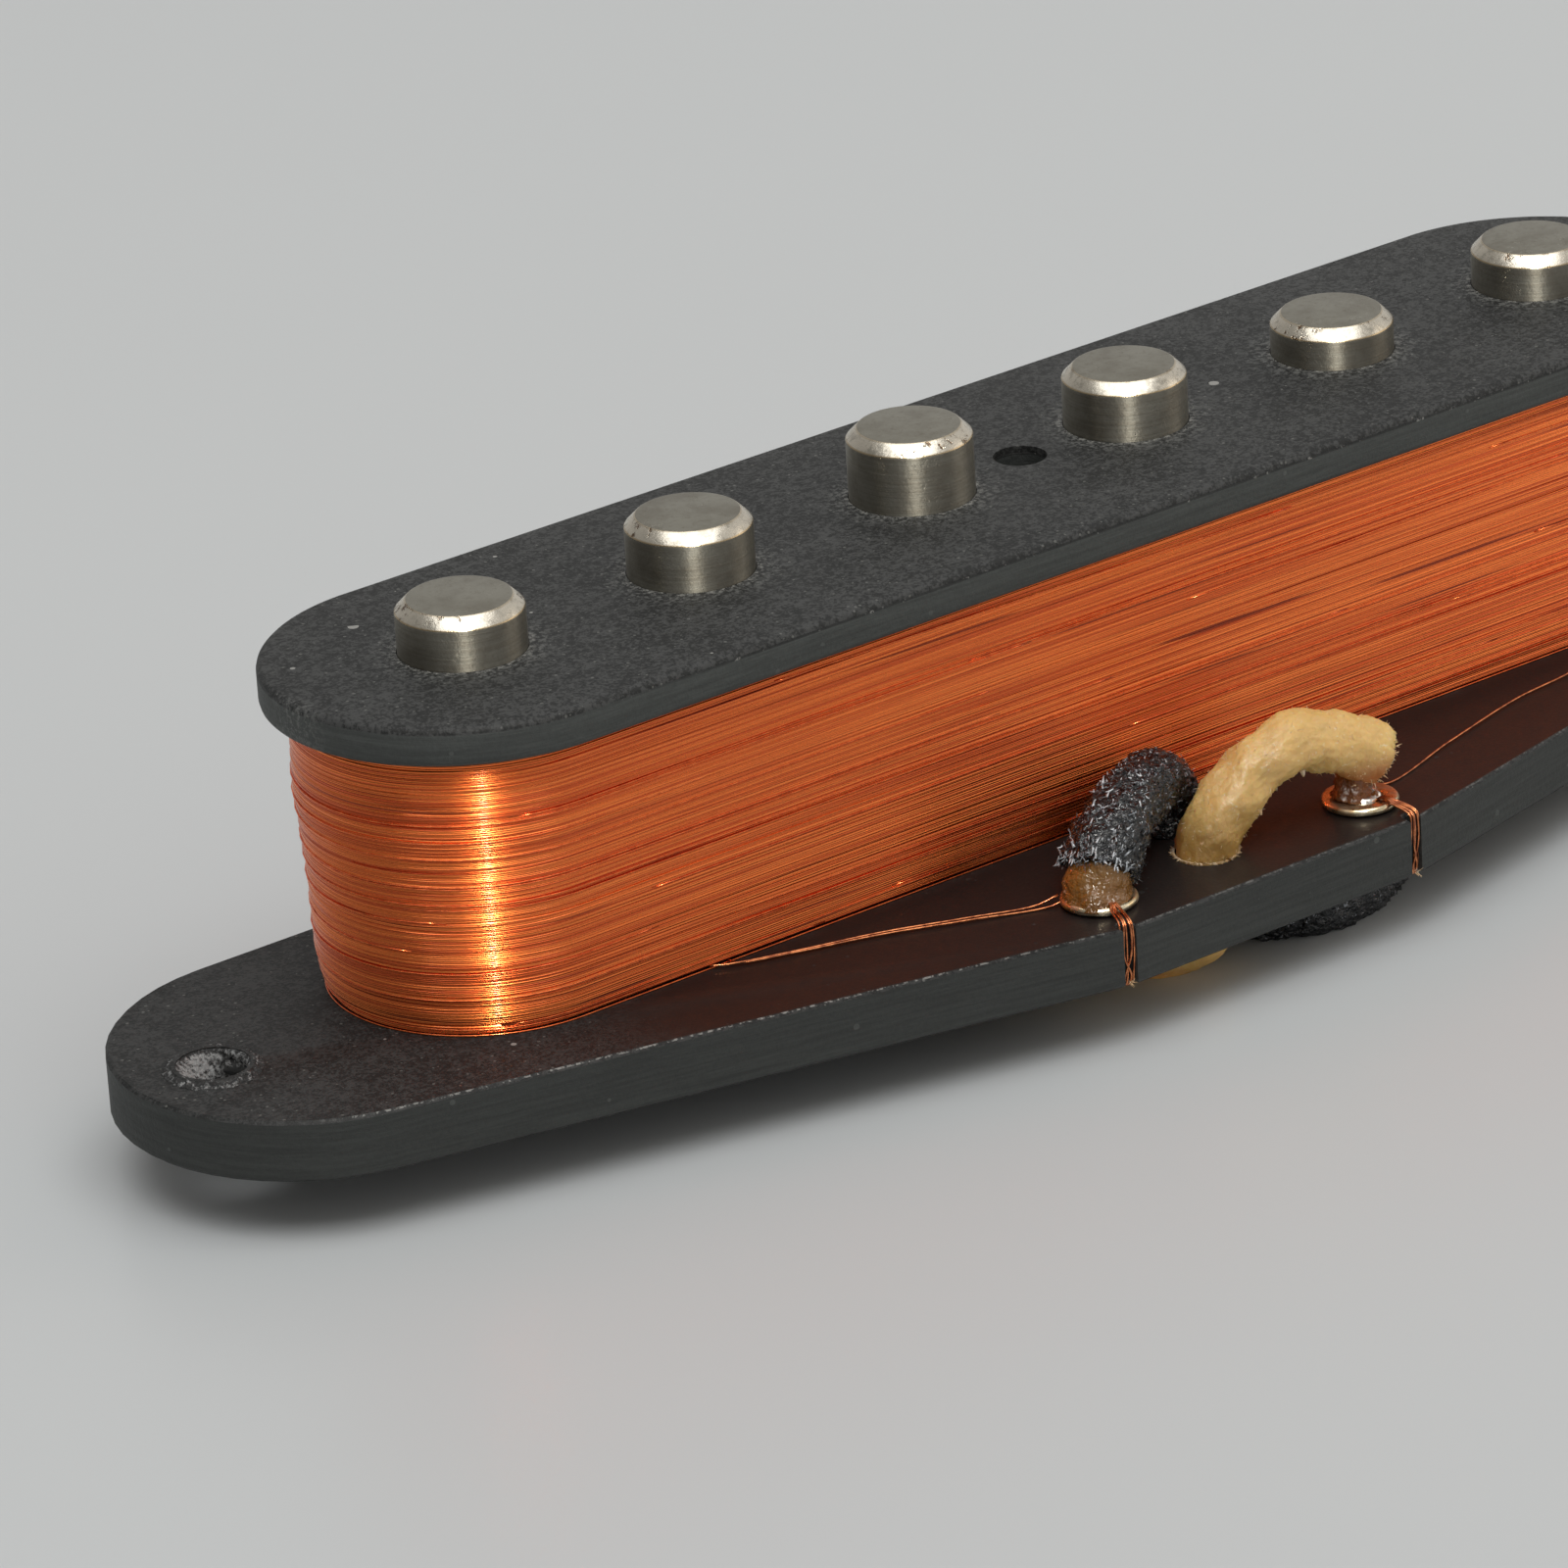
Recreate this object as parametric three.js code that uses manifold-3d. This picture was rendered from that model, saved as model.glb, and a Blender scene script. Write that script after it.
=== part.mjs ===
// Single-coil guitar pickup: six rod magnets held by two fibre plates, a coil of fine wire wound round the rods,
// two eyelets, and two cloth-covered leads that come up through the bottom plate and over into the eyelets.
// Millimetres, +Z up. +X runs along the row of rods, +Y to the back, away from the eyelets.
// The origin is the middle of the surface that the pickup lies on, under the middle of its plate.
import * as THREE from "three";
import { mergeVertices } from "three/addons/utils/BufferGeometryUtils.js";
import Module from "manifold-3d";

const wasm = await Module();
wasm.setup();

// Driving dimensions, in millimetres

// Rod magnets
const ROD_PITCH = 10.4;
const ROD_DIAMETER = 4.78;
const ROD_BEVEL = 0.45;
const ROD_TALLEST_RISE = 2.75;
const ROD_RISE_SHARES = [0.73, 0.82, 1, 0.83, 0.58, 0.65];
const ROD_FIT = 0.03;
const ROD_SIDES = 32;

// Top plate
const TOP_THICKNESS = 1.55;
const TOP_HALF_WIDTH = 7.5;
const TOP_EDGE_BREAK = 0.25;
const CENTRE_HOLE_DIAMETER = 2.05;

// Bottom plate: its ears reach past the centres of the end rods
const BOTTOM_THICKNESS = 2.38;
const EAR_REACH = 15.35;
const EAR_RADIUS = 7.6;
const FRONT_REACH = 14;
const FRONT_CORNER = 7;
const NOTCH_WIDTH = 0.55;
const NOTCH_DEPTH = 0.6;
const BOTTOM_EDGE_BREAK = 0.12;
const SCREW_HOLE_FROM_END = 3.15;
const SCREW_HOLE_DIAMETER = 2.75;
const SCREW_LIP_WIDTH = 0.32;
const SCREW_LIP_HEIGHT = 0.22;

// Coil: its outer surface stands COIL_BUILD off the rods at the widest, and draws in towards the bottom plate
const COIL_HEIGHT = 11.2;
const COIL_BUILD = 4.15;
const COIL_BUILD_SHARES = [0.84, 0.9, 0.925, 0.935, 0.965, 1, 0.995, 0.985];
const COIL_LEVEL_SHARES = [0, 0.07, 0.17, 0.35, 0.56, 0.7, 0.88, 1];
const COIL_FIT = 0.05;
const WIRE_DIAMETER = 0.07;
const OUTER_TURNS = 22;
const END_STEPS = 9;
const SIDE_STEPS = 3;
const WIRE_SIDES = 6;

// Eyelets
const EYELET_SPACING = 12.8;
const EYELET_FROM_FRONT = 2.5;
const EYELET_BORE = 1.7;
const EYELET_WALL = 0.22;
const EYELET_FLANGE_DIAMETER = 2.95;
const EYELET_FLANGE_HEIGHT = 0.34;
const EYELET_CLINCH_DIAMETER = 2.65;
const EYELET_CLINCH_HEIGHT = 0.22;
const EYELET_FIT = 0.04;
const EYELET_SIDES = 20;
const SOLDER_BELOW_RIM = 0.25;

// Leads
const LEAD_DIAMETER = 2.5;
const LEAD_FIT = 0.06;
const LEAD_SIDES = 8;
const LEAD_FLAT_SHARE = 0.1;
const WRAP_DIAMETER = 1.7;
const WRAP_SHOWS = 0.5;
const WRAP_SOCKET = 0.7;
const CORE_DIAMETER = 0.75;
const CORE_OFF_CENTRE = 0.2;
const PIECE_GAP = 0.05;
const LEAD_GAP = 0.3;

// Fine wires that show, and the bundles over the eyelets' rims
const STRAND_DIAMETER = 0.14;
const BUNDLE_DIAMETER = 0.4;

// Put-away coils of the leads
const TURN_GAP = 0.45;
const LOOP_RADIUS = 15.85;
const LOOPS = 2.2;
const LOOP_STEPS = 24;
const LOOP_SIDES = 6;
const LOOPS_CENTRE_X = 68;
const LOOPS_CENTRE_Y = 1;
const TIE_THICKNESS = 0.5;
const TIE_WIDTH = 3;
const TIE_SPREAD_SHARE = 0.21;
const END_DRAW_SHARE = 0.9;
const END_DRAW_STEPS = 6;
const TIP_LENGTH = 6;

// One overrun serves all cuts
const OVERRUN = 1;

// Heights from the surface that the pickup lies on, and places that follow from the sizes above
const LEAD_AXIS_Z = LEAD_DIAMETER * (0.5 - LEAD_FLAT_SHARE);
const UNDERSIDE_Z = LEAD_DIAMETER * (1 - LEAD_FLAT_SHARE) + LEAD_FIT;
const DECK_Z = UNDERSIDE_Z + BOTTOM_THICKNESS;
const TOP_UNDER_Z = DECK_Z + COIL_HEIGHT;
const TOP_Z = TOP_UNDER_Z + TOP_THICKNESS;
const ROD_COUNT = ROD_RISE_SHARES.length;
const ROW_HALF = ROD_PITCH * (ROD_COUNT - 1) / 2;
const BOTTOM_HALF_LENGTH = ROW_HALF + EAR_REACH;
const ROD_LINE_Y = (FRONT_REACH - EAR_RADIUS) / 2;

// Free-hand routes of the leads, from the cut end to the edge of the plate. Each point is [x, y, height], and
// y counts from the row of rods. The height of the arch counts from the plate's top, the rest from the surface below.
const CREAM_HOLE = [-0.6, -10.75];
const CREAM_ARCH = [
  [6, -11.45, 1.3], [5.6, -11.4, 2.4], [4.85, -11.3, 3.05], [3.5, -11.15, 3.3], [2.05, -11, 2.9],
  [0.85, -10.9, 2.1], [-0.1, -10.8, 1.1], [-0.6, -10.75, 0],
];
const CREAM_UNDER_ROUTE = [
  [-0.6, -10.75, 3.6], [-0.6, -10.75, 2.42], [-0.96, -10.54, 1.42], [-1.83, -10.04, 1], [-3.2, -8.9, 1],
  [-4.9, -6.2, 1], [-6, -2.4, 1], [-4.6, 2, 1], [0.5, 4.9, 1], [8, 5.4, 1], [18, 4.9, 1], [29, 4.1, 1],
];
const CREAM_EXIT_Y = 3.6;
const BLACK_HOLE = [-0.1, -7.9];
const BLACK_ARCH = [
  [-6.15, -11.35, 1.1], [-5.6, -11.05, 1.8], [-4.5, -10.45, 2.3], [-3.1, -9.6, 2.45], [-1.9, -8.95, 2.4],
  [-0.75, -8.3, 2.05], [-0.15, -7.95, 1.1], [-0.1, -7.9, 0],
];
const BLACK_UNDER_ROUTE = [
  [-0.1, -7.9, 3.6], [-0.1, -7.9, 2.42], [0.27, -8.08, 1.42], [1.18, -8.5, 1], [2.4, -9.5, 1],
  [3.6, -10.5, 1], [4.9, -11, 1], [6.3, -10.9, 1], [8.2, -10.1, 1], [12, -8, 1], [18, -5.5, 1], [28, -3.8, 1],
];
const BLACK_EXIT_Y = -3.2;

// Free-hand routes from the edge of the plate to the put-away coils
const CREAM_FREE_ROUTE = [[44.3, 3.5, 1.25], [47.3, 3, 1.27], [50, 1.7, 1.26]];
const CREAM_LOOPS_ANGLE = Math.PI * 13 / 12;
const BLACK_FREE_ROUTE = [[43.9, -3.3, 1.35], [46.4, -3.8, 2.3], [48.9, -4.7, 3.4], [51.3, -5.9, 3.98]];
const BLACK_LOOPS_ANGLE = Math.PI * 15 / 12;

// Solids: a closed geometry made a solid to cut or join, and back

function toSolid(geometry) {
  const bare = new THREE.BufferGeometry();
  bare.setAttribute("position", geometry.getAttribute("position").clone());
  if (geometry.index) bare.setIndex(geometry.index.clone());
  const merged = mergeVertices(bare);
  const index = merged.index.array;
  const corners = [];
  for (let i = 0; i < index.length; i += 3) {
    const [a, b, c] = index.slice(i, i + 3);
    if (a !== b && b !== c && c !== a) corners.push(a, b, c);
  }
  const vertProperties = merged.getAttribute("position").array;
  return new wasm.Manifold(new wasm.Mesh({ numProp: 3, vertProperties, triVerts: new Uint32Array(corners) }));
}

function toGeometry(solid) {
  const mesh = solid.getMesh();
  const geometry = new THREE.BufferGeometry();
  geometry.setAttribute("position", new THREE.Float32BufferAttribute(mesh.vertProperties, mesh.numProp));
  geometry.setIndex(new THREE.Uint32BufferAttribute(mesh.triVerts, 1));
  geometry.computeVertexNormals();
  return geometry;
}

function cutAway(solid, ...tools) {
  return tools.reduce((rest, tool) => rest.subtract(tool), solid);
}

// Shapes that several pieces share

function arcPoints(x, y, radius, from, to, steps) {
  const points = [];
  for (let i = 0; i <= steps; i++) {
    const angle = THREE.MathUtils.lerp(from, to, i / steps);
    points.push(new THREE.Vector2(x + radius * Math.cos(angle), y + radius * Math.sin(angle)));
  }
  return points;
}

function plate(outline, lowZ, thickness, edgeBreak, bevelSegments) {
  const geometry = new THREE.ExtrudeGeometry(new THREE.Shape(outline), {
    depth: thickness - 2 * edgeBreak, bevelEnabled: true, bevelThickness: edgeBreak, bevelSize: edgeBreak,
    bevelOffset: -edgeBreak, bevelSegments,
  });
  geometry.translate(0, 0, lowZ + edgeBreak);
  return toSolid(geometry);
}

function upright(x, y, lowZ, highZ, diameter, sides, topDiameter = diameter) {
  const geometry = new THREE.CylinderGeometry(topDiameter / 2, diameter / 2, highZ - lowZ, sides);
  geometry.rotateX(Math.PI / 2);
  geometry.translate(x, y, (lowZ + highZ) / 2);
  return toSolid(geometry);
}

function revolved(profile, sides) {
  const geometry = new THREE.LatheGeometry(profile, sides);
  geometry.rotateX(Math.PI / 2);
  return geometry;
}

function tube(points, diameter, sides, steps) {
  const section = new THREE.Shape(arcPoints(0, 0, diameter / 2, 0, 2 * Math.PI, sides).slice(1));
  const extrudePath = new THREE.CatmullRomCurve3(points);
  return new THREE.ExtrudeGeometry(section, { steps, bevelEnabled: false, extrudePath });
}

// A tube with one ring at each point of a nearly level path, mitred where the path turns
function mitredTube(points, diameter, sides) {
  const positions = [];
  const index = [];
  const up = new THREE.Vector3(0, 0, 1);
  const last = points.length - 1;
  const heading = (i) => points[i + 1].clone().sub(points[i]).normalize();
  points.forEach((point, i) => {
    const before = heading(Math.max(i - 1, 0));
    const after = heading(Math.min(i, last - 1));
    const along = before.clone().add(after).normalize();
    const across = along.clone().cross(up).normalize();
    const upwards = across.clone().cross(along);
    const reach = diameter / 2;
    const mitre = 1 / along.dot(after);
    for (let k = 0; k < sides; k++) {
      const angle = Math.PI / 2 + 2 * Math.PI * k / sides;
      const corner = point.clone();
      corner.addScaledVector(across, reach * mitre * Math.cos(angle));
      corner.addScaledVector(upwards, reach * Math.sin(angle));
      positions.push(...corner.toArray());
    }
  });
  for (let i = 0; i < last; i++) {
    for (let k = 0; k < sides; k++) {
      const a = i * sides + k;
      const b = i * sides + (k + 1) % sides;
      index.push(a, a + sides, b, b, a + sides, b + sides);
    }
  }
  for (let k = 1; k < sides - 1; k++) {
    const end = last * sides;
    index.push(0, k, k + 1, end, end + k + 1, end + k);
  }
  const geometry = new THREE.BufferGeometry();
  geometry.setAttribute("position", new THREE.Float32BufferAttribute(positions, 3));
  geometry.setIndex(index);
  geometry.computeVertexNormals();
  return geometry;
}

// The same points with a straight run of the given length added at both ends
function withStraightEnds(points, length) {
  const first = points[0].clone().sub(points[1]).setLength(length).add(points[0]);
  const [nextToLast, last] = points.slice(-2);
  const end = last.clone().sub(nextToLast).setLength(length).add(last);
  return [first, ...points, end];
}

// Least clear gap between the turns of a tube: points less than half a turn apart along it aren't compared
function leastGap(points, turnSteps, diameter) {
  let least = Infinity;
  for (let i = 0; i < points.length; i++) {
    for (let k = i + Math.floor(turnSteps / 2); k < points.length; k++) {
      least = Math.min(least, points[i].distanceTo(points[k]) - diameter);
    }
  }
  return least;
}

// A round bar between two distances along a line
function barAlong(start, direction, from, to, diameter, sides) {
  const ends = [from, to].map((distance) => start.clone().addScaledVector(direction, distance));
  return toSolid(tube(ends, diameter, sides, 1));
}

function asVectors(points, baseZ = 0) {
  return points.map(([x, y, z]) => new THREE.Vector3(x, y, baseZ + z));
}

// The assembly: y of every piece counts from the row of rods

const assembly = new THREE.Group();
assembly.position.y = ROD_LINE_Y;

function addPiece(name, shape, color, roughness, metalness) {
  const geometry = shape.isBufferGeometry ? shape : toGeometry(shape);
  const mesh = new THREE.Mesh(geometry, new THREE.MeshStandardMaterial({ color, roughness, metalness }));
  mesh.name = name;
  assembly.add(mesh);
  return mesh;
}

// Rod places and the holes that hold the rods

const rodPlaces = ROD_RISE_SHARES.map((share, i) => ({
  x: i * ROD_PITCH - ROW_HALF,
  topZ: TOP_Z + ROD_TALLEST_RISE * share,
}));

function rodHoles(lowZ, highZ) {
  const diameter = ROD_DIAMETER + 2 * ROD_FIT;
  return rodPlaces.map(({ x }) => upright(x, 0, lowZ - OVERRUN, highZ + OVERRUN, diameter, ROD_SIDES));
}

// Bottom plate: straight back, round ears, a front edge that swells to two notched corners

const eyeletPlaces = [-1, 1].map((side) => {
  const centre = new THREE.Vector2(side * EYELET_SPACING / 2, EYELET_FROM_FRONT - FRONT_REACH);
  const bundleY = NOTCH_DEPTH - PIECE_GAP - BUNDLE_DIAMETER / 2 - FRONT_REACH;
  const toNotch = new THREE.Vector2(side * FRONT_CORNER, bundleY).sub(centre);
  return { side, centre, toNotch: toNotch.clone().normalize(), notchReach: toNotch.length() };
});

function bottomOutline() {
  const earX = BOTTOM_HALF_LENGTH - EAR_RADIUS;
  const toEar = Math.atan2(FRONT_REACH, earX - FRONT_CORNER);
  const slope = toEar - Math.asin(EAR_RADIUS / Math.hypot(earX - FRONT_CORNER, FRONT_REACH));
  const notchRadius = NOTCH_WIDTH / 2;
  const notchY = NOTCH_DEPTH - notchRadius - FRONT_REACH;
  const right = [
    new THREE.Vector2(FRONT_CORNER - notchRadius, -FRONT_REACH),
    ...arcPoints(FRONT_CORNER, notchY, notchRadius, Math.PI, 0, 5),
    new THREE.Vector2(FRONT_CORNER + notchRadius, notchRadius * Math.tan(slope) - FRONT_REACH),
    ...arcPoints(earX, 0, EAR_RADIUS, slope - Math.PI / 2, Math.PI / 2, 22),
  ];
  const left = right.map(({ x, y }) => new THREE.Vector2(-x, y)).reverse();
  return [...right, ...left];
}

const screwPlaces = [-1, 1].map((side) => side * (BOTTOM_HALF_LENGTH - SCREW_HOLE_FROM_END));
const lipDiameter = SCREW_HOLE_DIAMETER + 2 * SCREW_LIP_WIDTH;
const blankPlate = plate(bottomOutline(), UNDERSIDE_Z, BOTTOM_THICKNESS, BOTTOM_EDGE_BREAK, 1);
const lippedPlate = screwPlaces.reduce((solid, x) => {
  const lip = upright(x, 0, DECK_Z - SCREW_LIP_HEIGHT, DECK_Z + SCREW_LIP_HEIGHT, lipDiameter + SCREW_LIP_WIDTH,
    EYELET_SIDES, lipDiameter - SCREW_LIP_WIDTH);
  return solid.add(lip);
}, blankPlate);

function throughBottom(x, y, diameter) {
  return upright(x, y, UNDERSIDE_Z - OVERRUN, DECK_Z + OVERRUN, diameter, EYELET_SIDES);
}

const bottomPlate = cutAway(
  lippedPlate,
  ...rodHoles(UNDERSIDE_Z, DECK_Z),
  ...screwPlaces.map((x) => throughBottom(x, 0, SCREW_HOLE_DIAMETER)),
  ...[CREAM_HOLE, BLACK_HOLE].map(([x, y]) => throughBottom(x, y, LEAD_DIAMETER + 2 * LEAD_FIT)),
  ...eyeletPlaces.map(({ centre }) => {
    return throughBottom(centre.x, centre.y, EYELET_BORE + 2 * EYELET_WALL + 2 * EYELET_FIT);
  }),
);
addPiece("bottom_flatwork", bottomPlate, "#3c3d3c", 0.75, 0);

// Top plate: round ends centred on the end rods, and a small hole in the middle

const topOutline = [
  ...arcPoints(ROW_HALF, 0, TOP_HALF_WIDTH, -Math.PI / 2, Math.PI / 2, 18),
  ...arcPoints(-ROW_HALF, 0, TOP_HALF_WIDTH, Math.PI / 2, Math.PI * 3 / 2, 18),
];
const topPlate = cutAway(
  plate(topOutline, TOP_UNDER_Z, TOP_THICKNESS, TOP_EDGE_BREAK, 2),
  ...rodHoles(TOP_UNDER_Z, TOP_Z),
  upright(0, 0, TOP_UNDER_Z - OVERRUN, TOP_Z + OVERRUN, CENTRE_HOLE_DIAMETER, EYELET_SIDES),
);
addPiece("top_flatwork", topPlate, "#3c3d3c", 0.75, 0);

// Rod magnets: flush with the underside, each as tall as its string asks, with a bevelled top

rodPlaces.forEach(({ x, topZ }, i) => {
  const reach = ROD_DIAMETER / 2;
  const height = topZ - UNDERSIDE_Z;
  const profile = [
    new THREE.Vector2(0, 0),
    new THREE.Vector2(reach, 0),
    new THREE.Vector2(reach, height - ROD_BEVEL),
    new THREE.Vector2(reach - ROD_BEVEL, height),
    new THREE.Vector2(0, height),
  ];
  const rod = addPiece(`pole_magnet_${i + 1}`, revolved(profile, ROD_SIDES), "#8b8578", 0.4, 1);
  rod.position.set(x, 0, UNDERSIDE_Z);
});

// Coil: an obround of packed inner turns round the rods, and its outer turns of fine wire

const TURN_STEPS = 2 * (END_STEPS + SIDE_STEPS);
const COIL_FOOT_Z = DECK_Z + COIL_FIT;
const COIL_LENGTH = COIL_HEIGHT - 2 * COIL_FIT;
const ROD_REACH = ROD_DIAMETER / 2 + ROD_FIT;

// One point of the way round the rods: an end, the back side, the other end, then the front side
function obroundPoint(step, reach) {
  const halfTurn = TURN_STEPS / 2;
  const side = Math.floor(step / halfTurn) % 2 === 0 ? 1 : -1;
  const within = step % halfTurn;
  const angle = Math.PI * (Math.min(within / END_STEPS, 1) - 0.5);
  const slide = Math.max(within - END_STEPS, 0) / SIDE_STEPS;
  const x = ROW_HALF * (1 - 2 * slide) + reach * Math.cos(angle);
  return new THREE.Vector2(side * x, side * reach * Math.sin(angle));
}

function coilReach(z) {
  const level = THREE.MathUtils.clamp((z - COIL_FOOT_Z) / COIL_LENGTH, 0, 1);
  const i = Math.max(COIL_LEVEL_SHARES.findIndex((share) => level <= share), 1);
  const [low, high] = COIL_LEVEL_SHARES.slice(i - 1, i + 1);
  const share = THREE.MathUtils.mapLinear(level, low, high, COIL_BUILD_SHARES[i - 1], COIL_BUILD_SHARES[i]);
  return ROD_REACH + COIL_BUILD * share;
}

// A closed profile of [reach, z] carried round the rods
function obroundRing(profile) {
  const positions = [];
  const index = [];
  profile.forEach(([reach, z]) => {
    for (let step = 0; step < TURN_STEPS; step++) {
      const { x, y } = obroundPoint(step, reach);
      positions.push(x, y, z);
    }
  });
  profile.forEach((_, i) => {
    const next = (i + 1) % profile.length;
    for (let step = 0; step < TURN_STEPS; step++) {
      const beside = (step + 1) % TURN_STEPS;
      const [a, b] = [i * TURN_STEPS + step, i * TURN_STEPS + beside];
      const [c, d] = [next * TURN_STEPS + step, next * TURN_STEPS + beside];
      index.push(a, b, c, b, d, c);
    }
  });
  const geometry = new THREE.BufferGeometry();
  geometry.setAttribute("position", new THREE.Float32BufferAttribute(positions, 3));
  geometry.setIndex(index);
  geometry.computeVertexNormals();
  return geometry;
}

// The flats of the inner wall pass clear of the rods, so its corners stand a little further out
const voidReach = ROD_REACH / Math.cos(Math.PI / (2 * END_STEPS));
const coreProfile = [
  [voidReach, COIL_FOOT_Z],
  ...COIL_LEVEL_SHARES.map((share) => {
    const z = COIL_FOOT_Z + COIL_LENGTH * share;
    return [coilReach(z) - WIRE_DIAMETER - COIL_FIT, z];
  }),
  [voidReach, COIL_FOOT_Z + COIL_LENGTH],
];
addPiece("coil_core", obroundRing(coreProfile), "#a4491f", 0.45, 0.3);

const firstTurnZ = COIL_FOOT_Z + WIRE_DIAMETER;
const lastTurnZ = COIL_FOOT_Z + COIL_LENGTH - WIRE_DIAMETER;
const windingSteps = OUTER_TURNS * TURN_STEPS;
const windingPoints = [];
for (let step = 0; step <= windingSteps; step++) {
  const z = THREE.MathUtils.lerp(firstTurnZ, lastTurnZ, step / windingSteps);
  const { x, y } = obroundPoint(step, coilReach(z) - WIRE_DIAMETER / 2);
  windingPoints.push(new THREE.Vector3(x, y, z));
}
const winding = withStraightEnds(windingPoints, WIRE_DIAMETER);
console.log(`outer turns: least gap ${leastGap(winding, TURN_STEPS, WIRE_DIAMETER).toFixed(3)} mm`);
addPiece("coil_outer_turns", mitredTube(winding, WIRE_DIAMETER, WIRE_SIDES), "#b4532a", 0.35, 0.6);

// Eyelets: a rolled rim on the plate's top, a barrel through it, and an edge clinched over below

function eyeletProfile() {
  const bore = EYELET_BORE / 2;
  const barrel = bore + EYELET_WALL;
  const rimRoll = EYELET_FLANGE_HEIGHT / 2;
  const clinchRoll = EYELET_CLINCH_HEIGHT / 2;
  const rimZ = DECK_Z + EYELET_FIT + rimRoll;
  const clinchZ = UNDERSIDE_Z - EYELET_FIT - clinchRoll;
  const rimX = EYELET_FLANGE_DIAMETER / 2 - rimRoll;
  const clinchX = EYELET_CLINCH_DIAMETER / 2 - clinchRoll;
  const quarter = Math.PI / 2;
  const section = [
    ...arcPoints(clinchX, clinchZ, clinchRoll, -quarter, quarter, 2),
    new THREE.Vector2(barrel, clinchZ + clinchRoll),
    new THREE.Vector2(barrel, rimZ - rimRoll),
    ...arcPoints(rimX, rimZ, rimRoll, -quarter, quarter, 4),
    ...arcPoints(bore + rimRoll, rimZ, rimRoll, quarter, 2 * quarter, 3),
    ...arcPoints(bore + clinchRoll, clinchZ, clinchRoll, 2 * quarter, 3 * quarter, 2),
  ];
  return [...section, section[0]];
}

const sideNames = { [-1]: "left", [1]: "right" };
eyeletPlaces.forEach(({ side, centre }) => {
  const eyelet = addPiece(`eyelet_${sideNames[side]}`, revolved(eyeletProfile(), EYELET_SIDES), "#b79f6b", 0.35, 1);
  eyelet.position.set(centre.x, centre.y, 0);
});

// Bundles of fine wire: out of each eyelet over its rim, down the notch in the plate's edge, and back up the bore

function bundlePoints({ centre, toNotch, notchReach }) {
  const clear = BUNDLE_DIAMETER / 2 + PIECE_GAP;
  const bore = EYELET_BORE / 2;
  const rimRoll = EYELET_FLANGE_HEIGHT / 2;
  const clinchRoll = EYELET_CLINCH_HEIGHT / 2;
  const rimZ = DECK_Z + EYELET_FIT + rimRoll;
  const clinchZ = UNDERSIDE_Z - EYELET_FIT - clinchRoll;
  const slant = Math.PI / 4;
  const inPlane = [
    new THREE.Vector2(bore - clear, DECK_Z - EYELET_FLANGE_HEIGHT),
    ...arcPoints(bore + rimRoll, rimZ, rimRoll + clear, 4 * slant, 2 * slant, 3),
    ...arcPoints(EYELET_FLANGE_DIAMETER / 2 - rimRoll, rimZ, rimRoll + clear, 2 * slant, slant, 1),
    ...arcPoints(notchReach - clear, DECK_Z, clear, slant, 0, 2),
    ...arcPoints(notchReach - clear, UNDERSIDE_Z, clear, 0, -slant, 2),
    ...arcPoints(EYELET_CLINCH_DIAMETER / 2 - clinchRoll, clinchZ, clinchRoll + clear, -slant, -2 * slant, 1),
    ...arcPoints(bore + clinchRoll, clinchZ, clinchRoll + clear, -2 * slant, -4 * slant, 3),
    new THREE.Vector2(bore - clear, UNDERSIDE_Z + EYELET_CLINCH_HEIGHT),
  ];
  return inPlane.map(({ x: out, y: z }) => {
    const place = centre.clone().addScaledVector(toNotch, out);
    return new THREE.Vector3(place.x, place.y, z);
  });
}

const bundleNames = { [-1]: "start_wire_wrap", [1]: "finish_wire_wrap" };
eyeletPlaces.forEach((eyelet) => {
  const bundle = tube(bundlePoints(eyelet), BUNDLE_DIAMETER, WIRE_SIDES, 30);
  addPiece(bundleNames[eyelet.side], bundle, "#8a4a26", 0.5, 0.4);
});

// Leads: down over the arch from the cut end, through the hole in the plate and out along its underside.
// The plate rests on these two stretches, so they are cut flat where they lie.

const floorSlab = toSolid(new THREE.BoxGeometry(4 * LOOPS_CENTRE_X, 4 * LOOPS_CENTRE_X, 2 * OVERRUN)
  .translate(0, 0, -OVERRUN));

function heldRoute(arch, under, exitY) {
  const exit = [BOTTOM_HALF_LENGTH - LEAD_GAP, exitY, LEAD_AXIS_Z];
  const beforeExit = [exit[0] - LEAD_DIAMETER, exitY, LEAD_AXIS_Z];
  return [...asVectors(arch, DECK_Z), ...asVectors([...under, beforeExit, exit])];
}

const rightEyelet = eyeletPlaces[1].centre;
const clinchDent = upright(rightEyelet.x, rightEyelet.y, UNDERSIDE_Z - EYELET_FIT - EYELET_CLINCH_HEIGHT - PIECE_GAP,
  UNDERSIDE_Z + OVERRUN, EYELET_CLINCH_DIAMETER + 2 * PIECE_GAP, EYELET_SIDES);

function coreRoute(cutEnd, inwards, eyelet) {
  const away = eyelet.centre.clone().addScaledVector(eyelet.toNotch, -CORE_OFF_CENTRE);
  const rimTop = DECK_Z + EYELET_FIT + EYELET_FLANGE_HEIGHT;
  return [
    cutEnd.clone().addScaledVector(inwards, WRAP_SOCKET / 2),
    new THREE.Vector3(away.x, away.y, rimTop),
    new THREE.Vector3(away.x, away.y, DECK_Z - EYELET_FLANGE_HEIGHT),
    new THREE.Vector3(away.x, away.y, DECK_Z - BOTTOM_THICKNESS / 2),
  ];
}

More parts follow.
